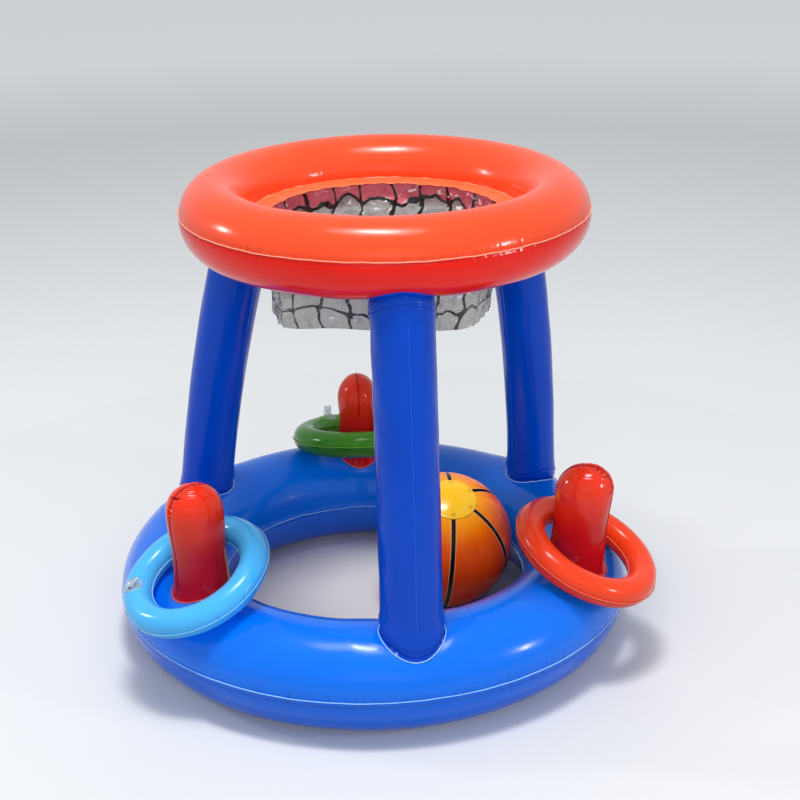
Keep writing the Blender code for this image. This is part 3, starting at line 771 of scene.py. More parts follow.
def ball_material():
    """Orange film with black lines and a thin light edge beside each line."""
    material, tree, shader, film = film_nodes(
        "ball film", (1.0, 0.050, 0.001), (0.97, 0.038, 0.001), shine=0.15
    )
    lines = ball_lines(tree, BALL_LINE_WIDTH)
    level = abs(lines["Polar"] - 0.5 * math.pi)
    ground = mix(((level - 0.10) / 0.75).clamped(), film["Colour"], (1.0, 0.130, 0.002))
    ground = mix(((level - 0.80) / 0.40).clamped(), ground, (1.0, 0.38, 0.004))
    beside = ball_lines(tree, BALL_LINE_WIDTH + BALL_LINE_EDGE)["Mask"]
    edge = mix(beside, ground, (1.0, 0.46, 0.16))
    feed(shader, {"Base Color": mix(lines["Mask"], edge, (0.006, 0.004, 0.004))})
    return material


def cap_material():
    """Yellow patch through which the ends of the lines show faintly."""
    material, tree, shader, film = film_nodes("cap film", (1.0, 0.58, 0.022), (0.98, 0.50, 0.014), 0.16)
    lines = ball_lines(tree, BALL_LINE_WIDTH)
    outer = ((lines["Polar"] - 0.72 * BALL_CAP_EDGE) / 0.02).clamped()
    inner = ((0.93 * BALL_CAP_EDGE - lines["Polar"]) / 0.02).clamped()
    stub = outer * inner * lines["Mask"] * 0.38
    feed(shader, {"Base Color": mix(stub, film["Colour"], (0.45, 0.13, 0.005))})
    return material


def net_material():
    """Clear film, printed with black cords and a red first row, with whitened crinkles and streaks of painted
    highlight.
    """
    material, tree, shader, film = film_nodes("net film", (0.46, 0.44, 0.41), (0.36, 0.35, 0.35), 0.12, 0.5)
    inputs = {"Columns": NET_COLUMNS, "Cell": NET_CELL, "First row": NET_FIRST_ROW}
    inputs = {**inputs, "Length": NET_LENGTH, "Line width": NET_LINE_WIDTH}
    net = add(tree, "ShaderNodeGroup", inputs, node_tree=NET_GROUP)
    tone = (0.75 - (net["Facet"] * 1.1).clamped()).clamped()
    ground = mix(tone, film["Colour"], (0.13, 0.13, 0.145))
    row = mix(tone, (0.88, 0.17, 0.23), (0.42, 0.035, 0.06))
    tinted = mix(net["First row"], ground, row)
    # The film's whitened crinkles and the painted highlight streaks lighten the colour and the cover.
    whitening_and_glint = reckon("MAXIMUM", net["Crease"] * 0.75, net["Painted glint"])
    whitened_and_glinting = mix(whitening_and_glint, tinted, (0.95, 0.94, 0.93))
    cover = (net["First row"] * 0.22 + whitening_and_glint * 0.3 + 0.60).clamped()
    inputs = {"Distance": 0.0030, "Strength": 1.0, "Height": net["Facet"], "Normal": film["Normal"]}
    feed(shader, {
        "Base Color": mix(net["Cord"], whitened_and_glinting, (0.001, 0.001, 0.001)),
        "Alpha": reckon("MAXIMUM", cover, net["Cord"]),
        "Normal": add(tree, "ShaderNodeBump", inputs)["Normal"],
        "Specular IOR Level": 0.5,
        "Coat Weight": 0.3,
    })
    return material


def clear_material(name, colour, clearness):
    material, _, shader, _ = film_nodes(name, colour, tuple(0.9 * c for c in colour), 0.10)
    feed(shader, {"Transmission Weight": clearness, "Specular IOR Level": 0.5, "IOR": 1.28})
    return material


# Films: name, colour and the colour of the clouds in it; then, where they differ from
# plain film, gloss, ripple, the colour of the painted shade below the seam or towards a peg's foot
# (else the clouds' colour), and shine
# Weld fins, and the weld lines at the feet of legs and pegs, are lighter than their film: painted highlight
# along their edges.
FILMS = {
    "float": ("royal blue film", (0.0, 0.185, 0.94), (0.0, 0.140, 0.82)),
    "float fin": ("royal blue weld fin", (0.36, 0.68, 1.0), (0.24, 0.56, 0.98), 0.3),
    "leg": ("deep blue film", (0.0, 0.070, 0.60), (0.0, 0.052, 0.50), 0.20, 0.10, None, 0.14),
    "leg strip": ("deep blue weld strip", (0.010, 0.125, 0.76), (0.006, 0.095, 0.66), 0.26),
    "leg weld": ("blue weld flange", (0.42, 0.74, 1.0), (0.30, 0.62, 0.98), 0.28),
    # The hoop's deeper red below the seam is painted shade on its underside.
    "hoop": ("orange film", (1.0, 0.085, 0.022), (0.97, 0.060, 0.014), 0.20, 0.10, (1.0, 0.009, 0.001)),
    "hoop fin": ("orange weld fin", (1.0, 0.46, 0.32), (1.0, 0.34, 0.20), 0.3),
    "band": ("orange weld band", (1.0, 0.19, 0.07), (1.0, 0.14, 0.045), 0.26),
    # The peg's crimson towards its foot is painted shade.
    "peg": ("red film", (0.94, 0.040, 0.010), (0.80, 0.022, 0.008), 0.16, 0.10, (0.56, 0.006, 0.012)),
    "peg fin": ("red weld fin", (0.50, 0.006, 0.006), (0.36, 0.004, 0.005), 0.25),
    "peg collar": ("red weld collar", (0.62, 0.010, 0.012), (0.50, 0.006, 0.010), 0.2),
    "peg weld": ("red weld flange", (1.0, 0.16, 0.13), (0.95, 0.10, 0.09), 0.28),
    "blue": ("light blue film", (0.080, 0.51, 1.0), (0.050, 0.46, 0.99)),
    "blue fin": ("light blue weld fin", (0.28, 0.70, 1.0), (0.2, 0.60, 0.98), 0.3),
    "red": ("red orange film", (1.0, 0.066, 0.014), (0.96, 0.042, 0.008)),
    "red fin": ("red orange weld fin", (1.0, 0.20, 0.10), (0.96, 0.12, 0.05), 0.3),
    "green": ("green film", (0.050, 0.27, 0.010), (0.028, 0.19, 0.006)),
    "green fin": ("green weld fin", (0.16, 0.48, 0.05), (0.12, 0.38, 0.03), 0.3),
}

MATERIALS = {label: film_nodes(*film)[0] for label, film in FILMS.items()}
MATERIALS["ball"] = ball_material()
MATERIALS["cap"] = cap_material()
MATERIALS["net"] = net_material()
MATERIALS["valve"] = clear_material("clear valve plastic", (0.93, 0.98, 1.0), 0.80)
MATERIALS["plug"] = clear_material("clear plug plastic", (0.92, 0.97, 1.0), 0.62)


# Float, hoop and toss rings

BASE = RingSkin(
    FLOAT_AT + UP * BASE_TUBE_R * BASE_FLAT_SHARE,
    np.identity(3),
    0.5 * BASE_OUTER_D - BASE_TUBE_R,
    BASE_TUBE_R,
    BASE_TUBE_R,
)
HOOP = RingSkin(
    FLOAT_AT + np.array([*HOOP_SHIFT, HOOP_MID_HEIGHT]),
    Matrix.Rotation(math.radians(HOOP_TILT), 3, "X"),
    0.5 * HOOP_OUTER_D - HOOP_HALF_W,
    HOOP_HALF_W,
    HOOP_HALF_H,
)
BASE_CREST = BASE.centre[2] + BASE.half_h


def leg_ends(leg):
    """Middle of a leg's foot and of its top."""
    foot_r = BASE.ring_r + LEG_FOOT_OUTSET
    foot = BASE.centre * LEVEL + outward(leg.foot_azimuth) * foot_r + UP * BASE_CREST
    top = HOOP.centre * LEVEL + outward(leg.top_azimuth) * HOOP.ring_r + UP * foot[2]
    top = strike(HOOP, top[None], UP, 0.0, HOOP.centre[2] - foot[2])[0]
    return foot, top


def peg_foot(peg):
    crest = BASE.centre[2] + math.sqrt(BASE.half_h ** 2 - peg.outset ** 2)
    return BASE.centre * LEVEL + outward(peg.azimuth) * (BASE.ring_r + peg.outset) + UP * crest


def footprint_excess(points, centre, azimuth, half_radial, half_across):
    """Level distance of points from the edge of an oval footprint."""
    radial, across = level_axes(azimuth)
    offset = points - centre
    u = offset @ radial / half_radial
    v = offset @ across / half_across
    return (np.hypot(u, v) - 1.0) * 0.5 * (half_radial + half_across)


def dent_lift(points, footprints):
    """The skin is drawn in round each weld and swells a little beyond it."""
    lift = np.zeros(points.shape[:-1])
    for footprint in footprints:
        excess = footprint_excess(points, *footprint)
        lift -= DENT_DEPTH * ease(1.0 - excess / DENT_REACH)
        lift += BULGE * bell(excess - BULGE_AT, BULGE_REACH)
    return lift


# Where legs and pegs meet the rings: middle, azimuth and the two half widths
LEG_PRINTS = [(leg_ends(leg)[0], leg.foot_azimuth, leg.foot_half, leg.foot_half) for leg in LEGS]
TOP_PRINTS = [(leg_ends(leg)[1], leg.foot_azimuth, LEG_TOP_HALF_RADIAL, leg.top_half) for leg in LEGS]
PEG_PRINTS = [
    (peg_foot(peg), peg.azimuth, PEG_HALF_RADIAL * peg.girth, PEG_HALF_ACROSS * peg.girth) for peg in PEGS
]


def well_lift(points, at, axis):
    """The skin sinks under the well of a valve that is pushed in."""
    offset = points - at
    height = offset @ axis
    level = np.linalg.norm(offset - height[..., None] * axis, axis=-1)
    return -VALVE_WELL_DEPTH * ease((VALVE_WELL_R + 0.0012 - level) / 0.0014) * (height > -0.02)


def ring_mesh(
    name, skin, seams, seed, columns, spacing, puckers, uneven, pressed, groove,
    dents=((), 1.0), offsets=SEAM_OFFSETS, wells=(),
):
    """The skin of a ring with a crease and puckers at each weld seam.

    Pressed is how far below the first seam a line is pressed in and darkened as painted shade, and groove
    its depth. Wells are the azimuth and the section angle of its valves, in degrees.
    """
    wells = [(math.radians(turn), math.radians(rise)) for turn, rise in wells]
    rows = [place * skin.mean_r for place in (*seams, *(rise for _, rise in wells))]
    angle = (rows_near(rows, offsets, spacing, TURN * skin.mean_r) / skin.mean_r)[None, :]
    azimuth = round_about(columns)[:, None]
    plain = skin.at(azimuth, angle)
    lift = waves(azimuth, angle, uneven, seed)
    crease = 0.0
    for number, seam in enumerate(seams):
        away = wrapped(angle - seam) * skin.mean_r
        reach = skin.ring_r + skin.half_w * math.cos(seam)
        folds = pucker_lift(azimuth * reach, away, TURN * reach, seed + 11 + number, puckers)
        lift = lift + folds - SEAM_DEPTH * bell(away, SEAM_REACH)
        # Painted shade: the colour darkens in the folds of the puckers.
        crease = crease + CREASE_SHADE * np.clip(-folds / puckers.depth - 0.25, 0.0, 1.0)
    prints, side = dents
    facing = ease(4.0 * side * np.sin(angle) + 0.6)
    lift = lift + dent_lift(plain, prints) * facing
    below = wrapped(angle - seams[0]) * skin.mean_r
    line = bell(below + pressed, PRESSED_WIDTH)
    lift = lift - groove * line
    # Painted shade: the pressed line below the seam is darkened.
    crease = crease + 0.35 * line
    for turn, rise in wells:
        lift = lift + well_lift(plain, skin.at(turn, rise), skin.normal(turn, rise))
    # Painted shade: below the first seam the colour turns to the darker shade colour.
    under = ease(-below / SHADE_BELOW_EDGE) * ease((below + math.pi * skin.mean_r) / SHADE_BELOW_EDGE)
    points = skin.at(azimuth, angle, lift)
    return tidy_mesh(grid_mesh(name, points, wrap_v=True, under=under, crease=crease))


def ring_fin(skin, seam, material, seed):
    """The thin edge of welded film that stands out of a ring's seam."""
    azimuth = round_about(420)
    wander = ripple(azimuth, (5, 9, 17, 31, 53), 0.00016 * min(1.0, skin.mean_r / 0.04), seed)
    points = skin.at(azimuth, seam + wander / skin.mean_r, 0.35 * FIN_PROUD + 0.5 * wander)
    return fin(points, True, FIN_PROUD, FIN_THICKNESS, material)


def dress_ring(name, skin, seams, film, body, slot, seed, **look):
    parts = [painted(ring_mesh(name, skin, seams, seed, **look), film)]
    for number, seam in enumerate(seams):
        # The fins' lighter film paints a highlight along the seam.
        parts.append(ring_fin(skin, seam, MATERIALS[film + " fin"], seed + number))
    show(name, "_skin", parts, body)


def dress_float_and_hoop():
    dress_ring(
        "base_ring", BASE, (0.0, math.pi), "float", "frame", "float_blue", 3,
        columns=1200, spacing=0.0075, puckers=BASE_PUCKERS, uneven=0.0007, pressed=0.0062, groove=0.0006,
        dents=(LEG_PRINTS + PEG_PRINTS, 1.0), wells=[BASE_VALVE],
        offsets=(0.0, 0.0008, 0.0018, 0.0032, 0.0046, 0.0054, 0.0062, 0.0070, 0.0080, 0.0110, 0.0155, 0.0210),
    )
    dress_ring(
        "hoop_ring", HOOP, (HOOP_SEAM_RISE / HOOP_HALF_H, math.pi), "hoop", "frame", "hoop_orange", 5,
        columns=1080, spacing=0.0070, puckers=HOOP_PUCKERS, uneven=0.0006, pressed=0.0020, groove=0.0002,
        dents=(TOP_PRINTS, -1.0), wells=[HOOP_VALVE],
    )


# Legs


def section_columns(half, offsets, spacing):
    """Angles round a leg or peg, dense at its two seams."""
    around = TURN * half
    return (rows_near([0.0, 0.5 * around], offsets, spacing, around) / half)[:, None]


def dress_leg(leg, foot_print, top_print, seed):
    """A leg of two panels, tucked in at both ends, with a pressed line down each seam."""
    foot, top = foot_print[0], top_print[0]
    foot_half = leg.foot_half
    radial = outward(leg.foot_azimuth)
    turn = section_columns(foot_half, (0.0008, 0.0018, 0.0030, 0.0046, 0.0070), 0.0026)
    length = float(np.linalg.norm(top - foot))
    ranges = ((0.0, 0.034, 34), (0.038, length - 0.038, 64), (length - 0.034, length, 34))
    share = np.concatenate([np.linspace(*bounds) for bounds in ranges])[None, :] / length
    from_end = np.minimum(share, 1.0 - share) * length
    lift = LEG_END_SWELL * bell(from_end - 0.014, 0.011) - LEG_END_TUCK * bell(from_end, 0.0042)
    lift = lift + waves(turn, 14.0 * share, 0.0005, seed)
    for height in (share * length, (1.0 - share) * length):
        folds = pucker_lift(turn * foot_half, height, TURN * foot_half, seed + 3, LEG_END_PUCKERS)
        lift = lift + folds * ease(height / 0.002)
        bend = height - 0.0135 + 0.0060 * (np.abs(np.cos(turn)) - 0.4)
        lift = lift - 0.0010 * bell(bend, 0.0010) + 0.0006 * bell(bend - 0.0028, 0.0018)
    for seam in (0.0, math.pi):
        away = wrapped(turn - seam) * foot_half
        lift = lift - 0.0005 * bell(away, 0.0012) + 0.0002 * bell(np.abs(away) - 0.0024, 0.0010)
        lift = lift + pucker_lift(share * length, away, length, seed + 7, LEG_SEAM_PUCKERS)

    def wall(angle, portion, extra):
        """Offsets from the middle line; portion is 0 at the foot and 1 at the top."""
        half = foot_half + (leg.top_half - foot_half) * portion
        near_top = np.clip(1.0 - (1.0 - portion) * length / LEG_TOP_NECK, 0.0, 1.0)
        half_radial = half + (LEG_TOP_HALF_RADIAL - half) * near_top ** 1.5
        return oval(leg.foot_azimuth, angle, half_radial + extra, half + extra)

    def surface(angle, portion, extra):
        low = seated(BASE, foot + wall(angle, 0.0, 0.0), -UP)[..., 2]
        high = seated(HOOP, top + wall(angle, 1.0, 0.0), UP)[..., 2]
        angle, portion, extra = np.broadcast_arrays(angle, portion, extra)
        bow = (leg.bow * np.sin(math.pi * portion))[..., None] * radial
        points = foot + (top - foot) * portion[..., None] + bow + wall(angle, portion, extra)
        points[..., 2] = low + (high - low) * portion
        return points

    name = "leg_" + leg.name
    parts = [painted(tidy_mesh(grid_mesh(name, surface(turn, share, lift))), "leg")]
    for seam in (0.0, math.pi):
        path = surface(np.full(110, seam), np.linspace(0.004, 0.990, 110), -0.0004)
        parts.append(fin(path, False, LINE_WIDTH, LINE_WIDTH, MATERIALS["leg strip"]))
    show(name, "_skin", parts, "frame")
    dress_flange("weld_foot_" + leg.name, BASE, foot_print, -UP, ("leg", "leg weld"), seed)
    dress_flange("weld_top_" + leg.name, HOOP, top_print, UP, ("leg", "leg"), seed + 1)


def dress_flange(name, skin, footprint, direction, films, seed):
    """The collar of welded film at the end of a leg or peg, with a raised line at its edge.

    Films are the materials of the collar and of the line.
    """
    centre, azimuth, half_radial, half_across = footprint
    angle = round_about(180)
    ruffle = ripple(angle, (7, 13, 22, 37), 0.00022, seed)
    profile = (
        (-0.0015, -0.0006), (FLANGE_WIDTH, -0.0006), (FLANGE_WIDTH + 0.0003, 0.5 * FLANGE_THICKNESS),
        (FLANGE_WIDTH - 0.0004, FLANGE_THICKNESS), (0.0016, 0.8 * FLANGE_THICKNESS),
        (-0.0015, 1.6 * FLANGE_THICKNESS),
    )
    rows = []
    for out, height in profile:
        reach = out + (ruffle if out > 0.002 else 0.0)
        rim = centre + oval(azimuth, angle, half_radial + reach, half_across + reach)
        rim = seated(skin, rim, direction, 0.0)
        lift = height - DENT_DEPTH * ease(1.0 - out / DENT_REACH) + (0.8 * ruffle if height > 0.0 else 0.0)
        rows.append(rim - direction * np.broadcast_to(lift, angle.shape)[:, None])
    collar = tidy_mesh(grid_mesh(name, np.stack(rows, 1), wrap_v=True), sharp=60.0)
    # Where the line's film is lighter, it paints a highlight along the collar's edge.
    line = fin(0.5 * (rows[2] + rows[3]), True, FLANGE_LINE, FLANGE_LINE, MATERIALS[films[1]])
    show(name, "_collar", [painted(collar, films[0]), line], "frame")


# Pegs


def peg_swell(height):
    """A peg spreads at its foot and is slimmer at its waist."""
    return 0.0022 * bell(height, 0.007) - 0.0020 * bell(height - 0.042, 0.024)


def dress_peg(peg, footprint, seed):
    """A peg of two panels with a folded dome and a fin over it."""
    foot, _, peg_radial, peg_across = footprint
    radial, across = level_axes(peg.azimuth)
    axis = unit(UP + radial * math.tan(math.radians(peg.lean)))
    straight = peg.height - PEG_DOME
    total = 2.0 * straight + math.pi * PEG_DOME

    def stand(rise, out, side):
        """Points from their height along the axis and two level offsets."""
        return foot + axis * rise[..., None] + radial * out[..., None] + across * side[..., None]

    height = np.concatenate([
        np.linspace(0.0, 0.014, 14),
        np.linspace(0.017, straight, 26),
        straight + PEG_DOME * np.sin(np.radians(np.linspace(1.0, 90.0, 110))),
    ])[None, :]
    turn = section_columns(peg_radial, (0.0006, 0.0016, 0.0030, 0.0050), 0.0014)
    share = np.clip((height - straight) / PEG_DOME, 0.0, 1.0)
    dome = np.sqrt(np.maximum(0.0, 1.0 - share ** 2))
    out = (peg_radial - 0.0010 + peg_swell(height)) * dome ** PEG_DOME_SHAPE * np.cos(turn)
    side = (peg_across - 0.0005 + peg_swell(height)) * dome * np.sin(turn)

    # Folds that cross the seam over the dome, and fine ones beside it and at the foot
    path = np.where(height < straight, height, straight + PEG_DOME * np.arcsin(share) * 0.98)
    along = np.where(np.cos(turn) > 0.0, path, total - path)
    over_top = ease((height - straight + 0.014) / 0.020) * peg.folds
    over_top = over_top * (0.65 + 0.35 * np.tanh(np.cos(turn) * 8.0))
    lift = pucker_lift(along, side, total, seed, PEG_DOME_PUCKERS) * over_top
    # Painted shade: the colour darkens in the folds over the dome.
    crease = 0.95 * np.clip(-lift / 0.0014 - 0.15, 0.0, 1.0)
    lift = lift + pucker_lift(along, side, total, seed + 1, PEG_SEAM_PUCKERS) * (1.0 - over_top)
    lift = lift - 0.0009 * bell(side, 0.0026)
    creases = pucker_lift(turn * peg_radial, height, TURN * peg_radial, seed + 2, PEG_FOOT_PUCKERS)
    lift = lift + creases * ease(height / 0.002) + waves(turn, 30.0 * height, 0.0005, seed)
    size = np.maximum(np.hypot(out, side), 1e-5)
    swell = 1.0 + lift * np.minimum(size / 0.006, 1.0) * dome / size
    side = side * swell
    rise = height + lift * share * 0.9 - 0.0006 * share * bell(side, 0.0026)
    points = stand(rise, out * swell, side)
    rim = seated(BASE, points[:, 0], -UP)
    points[..., 2] += (rim[:, 2] - points[:, 0, 2])[:, None] * (1.0 - ease(height / PEG_BASE_BLEND))
    # Painted shade: the colour darkens towards the peg's foot.
    under = 1.0 - ease((height - 0.25 * peg.height) / (0.55 * peg.height))
    name = "peg_" + peg.name
    skin = tidy_mesh(grid_mesh(name, points, under=under, crease=crease), merge=2e-5)

    # The fin: up one side, over the dome and a little way down the other side
    bend = np.radians(np.linspace(0.0, 180.0, 61))
    level = np.cos(bend)
    left = np.stack([np.full(40, 1.0), np.linspace(0.003, straight - 0.001, 40)], 1)
    right = left[-9:][::-1] * (-1.0, 1.0)
    over = [np.sign(level) * np.abs(level) ** PEG_DOME_SHAPE, straight + PEG_DOME * np.sin(bend)]
    reach, height = np.concatenate([left, np.stack(over, 1), right]).T
    spread = peg_radial - 0.0012 + peg_swell(height)
    wobble = np.cumsum(np.random.default_rng(seed + 5).normal(0.0, 0.00006, len(height)))
    wobble -= np.linspace(wobble[0], wobble[-1], len(height))
    drop = seated(BASE, (foot + radial * spread[0])[None], -UP, 0.0)[0, 2] - foot[2]
    top_out = 0.0002 * np.sin(np.clip((height - straight) / PEG_DOME, 0.0, 1.0))
    path = stand(height + top_out, reach * spread, wobble)
    path = path + UP * (drop * (1.0 - ease(height / PEG_BASE_BLEND)))[:, None]
    edge = fin(path, False, PEG_FIN_WIDTH, PEG_FIN_THICKNESS, MATERIALS["peg fin"])
    show(name, "_skin", [painted(skin, "peg"), edge], "frame")
    films = ("peg collar", "peg weld")
    dress_flange("weld_peg_" + peg.name, BASE, footprint, -UP, films, seed + 9)


# Toss rings


def toss_skin(ring):
    direction, across = level_axes(ring.azimuth)
    tip = np.array(Matrix.Rotation(math.radians(ring.tilt), 3, Vector(across)))
    turn = np.stack([tip @ direction, across, tip @ UP], 1)
    centre = middle_of("toss_ring_" + ring.name)
    return RingSkin(centre, turn, 0.5 * TOSS_OUTER_D - TOSS_TUBE_R, TOSS_TUBE_R, TOSS_TUBE_R)


def dress_toss_ring(ring, seed):
    label = "ring_" + ring.name
    dress_ring(
        "toss_" + label, toss_skin(ring), (0.0, math.pi), ring.name, label, label, seed,
        columns=540, spacing=0.0022, puckers=TOSS_PUCKERS, uneven=0.0004, pressed=0.0024, groove=0.0002,
        wells=[(ring.valve_azimuth - ring.azimuth, 90.0)] if ring.pushed_in else [],
        offsets=(0.0, 0.0008, 0.0018, 0.0032, 0.0052, 0.0080),
    )


# Ball


def ball_frame():
    tilt, azimuth = BALL_POLE
    pole = UP * math.cos(math.radians(tilt)) + outward(azimuth) * math.sin(math.radians(tilt))
    side = outward(azimuth + 90.0)
    spin = Matrix.Rotation(math.radians(BALL_SPIN), 3, "Z")
    return np.stack([side, np.cross(pole, side), pole], 1) @ np.array(spin)


def ball_points(centre, turn, azimuth, polar, radius):
    azimuth, polar, radius = np.broadcast_arrays(azimuth, polar, radius)
    local = np.stack([np.sin(polar) * np.cos(azimuth), np.sin(polar) * np.sin(azimuth), np.cos(polar)], -1)
    return centre + (local * radius[..., None]) @ turn.T


def crinkles(azimuth, polar, seed, start, reach, depth):
    """Fine folds that run out from under the edge of a cap."""
    rng = np.random.default_rng(seed)
    lift = 0.0
    for _ in range(46):
        offset = wrapped(azimuth - rng.uniform(0.0, TURN))
        wide = rng.uniform(0.010, 0.024)
        far = reach * rng.uniform(0.35, 1.1)
        fade = bell(np.maximum(polar - start, 0.0), far) * ease((polar - start + 0.10) / 0.10)
        lift = lift - depth * rng.uniform(0.3, 1.0) * bell(offset, wide) * fade
    return lift


def ball_valve_axis():
    azimuth, rise = BALL_VALVE
    return outward(azimuth) * math.cos(math.radians(rise)) + UP * math.sin(math.radians(rise))


def dress_cap(name, tip, centre, turn):
    """A round patch of film with a pressed ring near its edge; tip turns it to its pole."""
    shares = np.array([
        0.0, 0.06, 0.15, 0.25, 0.35, 0.45, 0.55, 0.65, 0.72, 0.78,
        0.82, 0.86, 0.89, 0.91, 0.93, 0.95, 0.97, 0.985, 1.0,
    ])
    height = 0.0003 + BALL_CAP_THICKNESS * (1.0 - ease((shares - 0.97) / 0.03) * 0.6)
    height = height - 0.00035 * bell(shares - 0.90, 0.014)
    underside = (1.0, 0.6, 0.0)
    polar = np.concatenate([shares, underside])[None, :] * BALL_CAP_EDGE
    height = np.concatenate([height, np.full(len(underside), -0.0006)])[None, :]
    azimuth = round_about(216)[:, None]
    lift = height + crinkles(azimuth, polar, 31, 0.9 * BALL_CAP_EDGE, 0.2, 0.00018) * (height > 0.0)
    mesh = grid_mesh(name, ball_points(centre, turn, azimuth, tip(polar), 0.5 * BALL_D + lift))
    set_v(mesh, polar[0] / math.pi)
    show(name, "_patch", [painted(tidy_mesh(mesh, sharp=70.0), "cap")], "ball")


def dress_ball():
    centre = middle_of("ball")
    turn = ball_frame()
    radius = 0.5 * BALL_D
    azimuth = round_about(300)[:, None]
    polar = np.linspace(0.0, math.pi, 150)[None, :]
    shifted = azimuth + math.pi / 6.0
    from_line = (shifted * BALL_LINES / TURN) % 1.0 - 0.5
    away = from_line * TURN / BALL_LINES * radius * np.sin(polar)
    lift = waves(shifted, 2.0 * polar, 0.0004, 8) - 0.0005 * bell(away, 0.0022)
    for seed, from_pole in ((21, polar), (22, math.pi - polar)):
        lift = lift + crinkles(shifted, from_pole, seed, BALL_CAP_EDGE, 0.42, 0.0007)
    lift = lift * ease(np.sin(polar) / 0.2)
    axis = ball_valve_axis()
    plain = ball_points(centre, turn, azimuth, polar, radius)
    lift = lift + well_lift(plain, centre + axis * radius, axis)
    mesh = tidy_mesh(grid_mesh("ball", ball_points(centre, turn, azimuth, polar, radius + lift)))
    show("ball", "_skin", [painted(mesh, "ball")], "ball")
    dress_cap("ball_cap_upper", lambda polar: polar, centre, turn)
    dress_cap("ball_cap_lower", lambda polar: math.pi - polar, centre, turn)


# Net


def dress_band():
    """The flat welded rim inside the hoop, with a pressed line along it."""
    azimuth = round_about(540)
    outer = -HOOP_HALF_W + 0.0012
    inner = -HOOP_HALF_W - FIN_PROUD - BAND_WIDTH
    profile = (
        (0.0, 0.5), (0.18, 0.62), (0.24, 0.35), (0.30, 0.62), (0.72, 0.60), (0.78, 0.35),
        (0.84, 0.60), (0.97, 0.5), (1.0, 0.0), (0.97, -0.5), (0.0, -0.5),
    )
    sway = ripple(azimuth, (9, 16, 27, 44), 0.0003, 41)
    rows = []
    for share, level in profile:
        reach = HOOP.ring_r + outer + (inner - outer) * share
        height = level * BAND_THICKNESS - BAND_DROP * share + sway * share
        rows.append(HOOP.put(reach * np.cos(azimuth), reach * np.sin(azimuth), height))
    mesh = tidy_mesh(grid_mesh("net_band", np.stack(rows, 1), wrap_v=True), sharp=50.0)
    show("net_band", "_rim", [painted(mesh, "band")], "frame")


def fold_lift(azimuth, share, seed, count, depth):
    """Sharp creases in stiff film: each is a straight ridge that fades at its ends."""
    rng = np.random.default_rng(seed)
    lift = 0.0
    for _ in range(count):
        at = rng.uniform(0.0, TURN)
        level = rng.uniform(0.0, 1.1) * NET_LENGTH
        turn = rng.uniform(-1.4, 1.4) + 0.5 * math.pi
        reach = rng.uniform(0.012, 0.045)
        wide = rng.uniform(0.0030, 0.0090)
        x = wrapped(azimuth - at) * 0.13
        y = share * NET_LENGTH - level
        along = x * math.cos(turn) + y * math.sin(turn)
        away = -x * math.sin(turn) + y * math.cos(turn)
        ridge = np.maximum(0.0, 1.0 - np.abs(away) / wide) * bell(along, reach)
        lift = lift + rng.choice([-1.0, 1.0]) * depth * rng.uniform(0.3, 1.0) * ridge
    return lift


def net_points(azimuth, share, side):
    """The film between the band at share 0 and its hem at share 1."""
    top_r = HOOP.ring_r - HOOP_HALF_W - FIN_PROUD - 0.5 * BAND_WIDTH
    drape = ease(share)
    reach = top_r + (NET_BOTTOM_R - top_r) * (0.65 * share + 0.35 * drape)
    fold = np.sin(NET_FOLDS * azimuth) + 0.6 * np.sin(2.0 * azimuth + 0.5)
    reach = reach + NET_FOLD_DEPTH * share * fold
    gathered = bell(np.cos(azimuth) ** 2 - 1.0, 0.22)
    pleats = np.abs((azimuth * NET_PLEATS / math.pi) % 2.0 - 1.0) - 0.5
    reach = reach + NET_PLEAT_DEPTH * ease(share * 1.4) * gathered * pleats
    reach = reach + fold_lift(azimuth, share, 51, NET_CREASES, NET_CREASE_DEPTH) * ease(share * 6.0)
    reach = reach + side
    depth = 1.0 - (1.0 - NET_BOTTOM_DEPTH) * drape
    wave = NET_HEM_WAVE * np.sin(3.0 * azimuth + 0.8) - NET_HEM_DIP * np.cos(2.0 * azimuth)
    height = -0.5 * BAND_THICKNESS - 0.5 * BAND_DROP - (NET_LENGTH - wave) * share
    shift = NET_BOTTOM_SHIFT * share
    return HOOP.put(reach * np.cos(azimuth) + shift, reach * depth * np.sin(azimuth), height)


def dress_net():
    azimuth = round_about(540)[:, None]
    down = np.linspace(0.0, 1.0, NET_ROWS)
    outer = net_points(azimuth, down[None, :], 0.5 * NET_FILM)
    inner = net_points(azimuth, down[None, :], -0.5 * NET_FILM)[:, ::-1]
    mesh = grid_mesh("net_sleeve", np.concatenate([outer, inner], 1), wrap_v=True)
    set_v(mesh, np.concatenate([down, down[::-1], [0.0]]))
    piece = show("net_sleeve", "_film", [painted(tidy_mesh(mesh), "net")], "frame")


# Valves and plugs


def valve_axes(axis):
    level = np.cross(UP, axis)
    if np.linalg.norm(level) < 0.2:
        level = np.cross([1.0, 0.0, 0.0], axis)
    level = unit(level)
    return level, unit(np.cross(axis, level))


def lathe(at, axis, profile, skin=None, steps=56):
    """Turn a profile round a valve's axis; marked points follow the skin below."""
    first, second = valve_axes(axis)
    angle = round_about(steps)[:, None]
    spoke = first * np.cos(angle) + second * np.sin(angle)
    rows = []
    for radius, height, follows in profile:
        ring = at + spoke * radius
        if follows:
            ring = strike(skin, ring + axis * 0.02, -axis, 0.0, 0.06)
        rows.append(ring + axis * height)
    return np.stack(rows, 1)


def beside_neck(*points, follows=False):
    """Part of a valve's profile, given by offsets from the neck's radius and heights."""
    return [(VALVE_NECK_R + out, height, follows) for out, height in points]


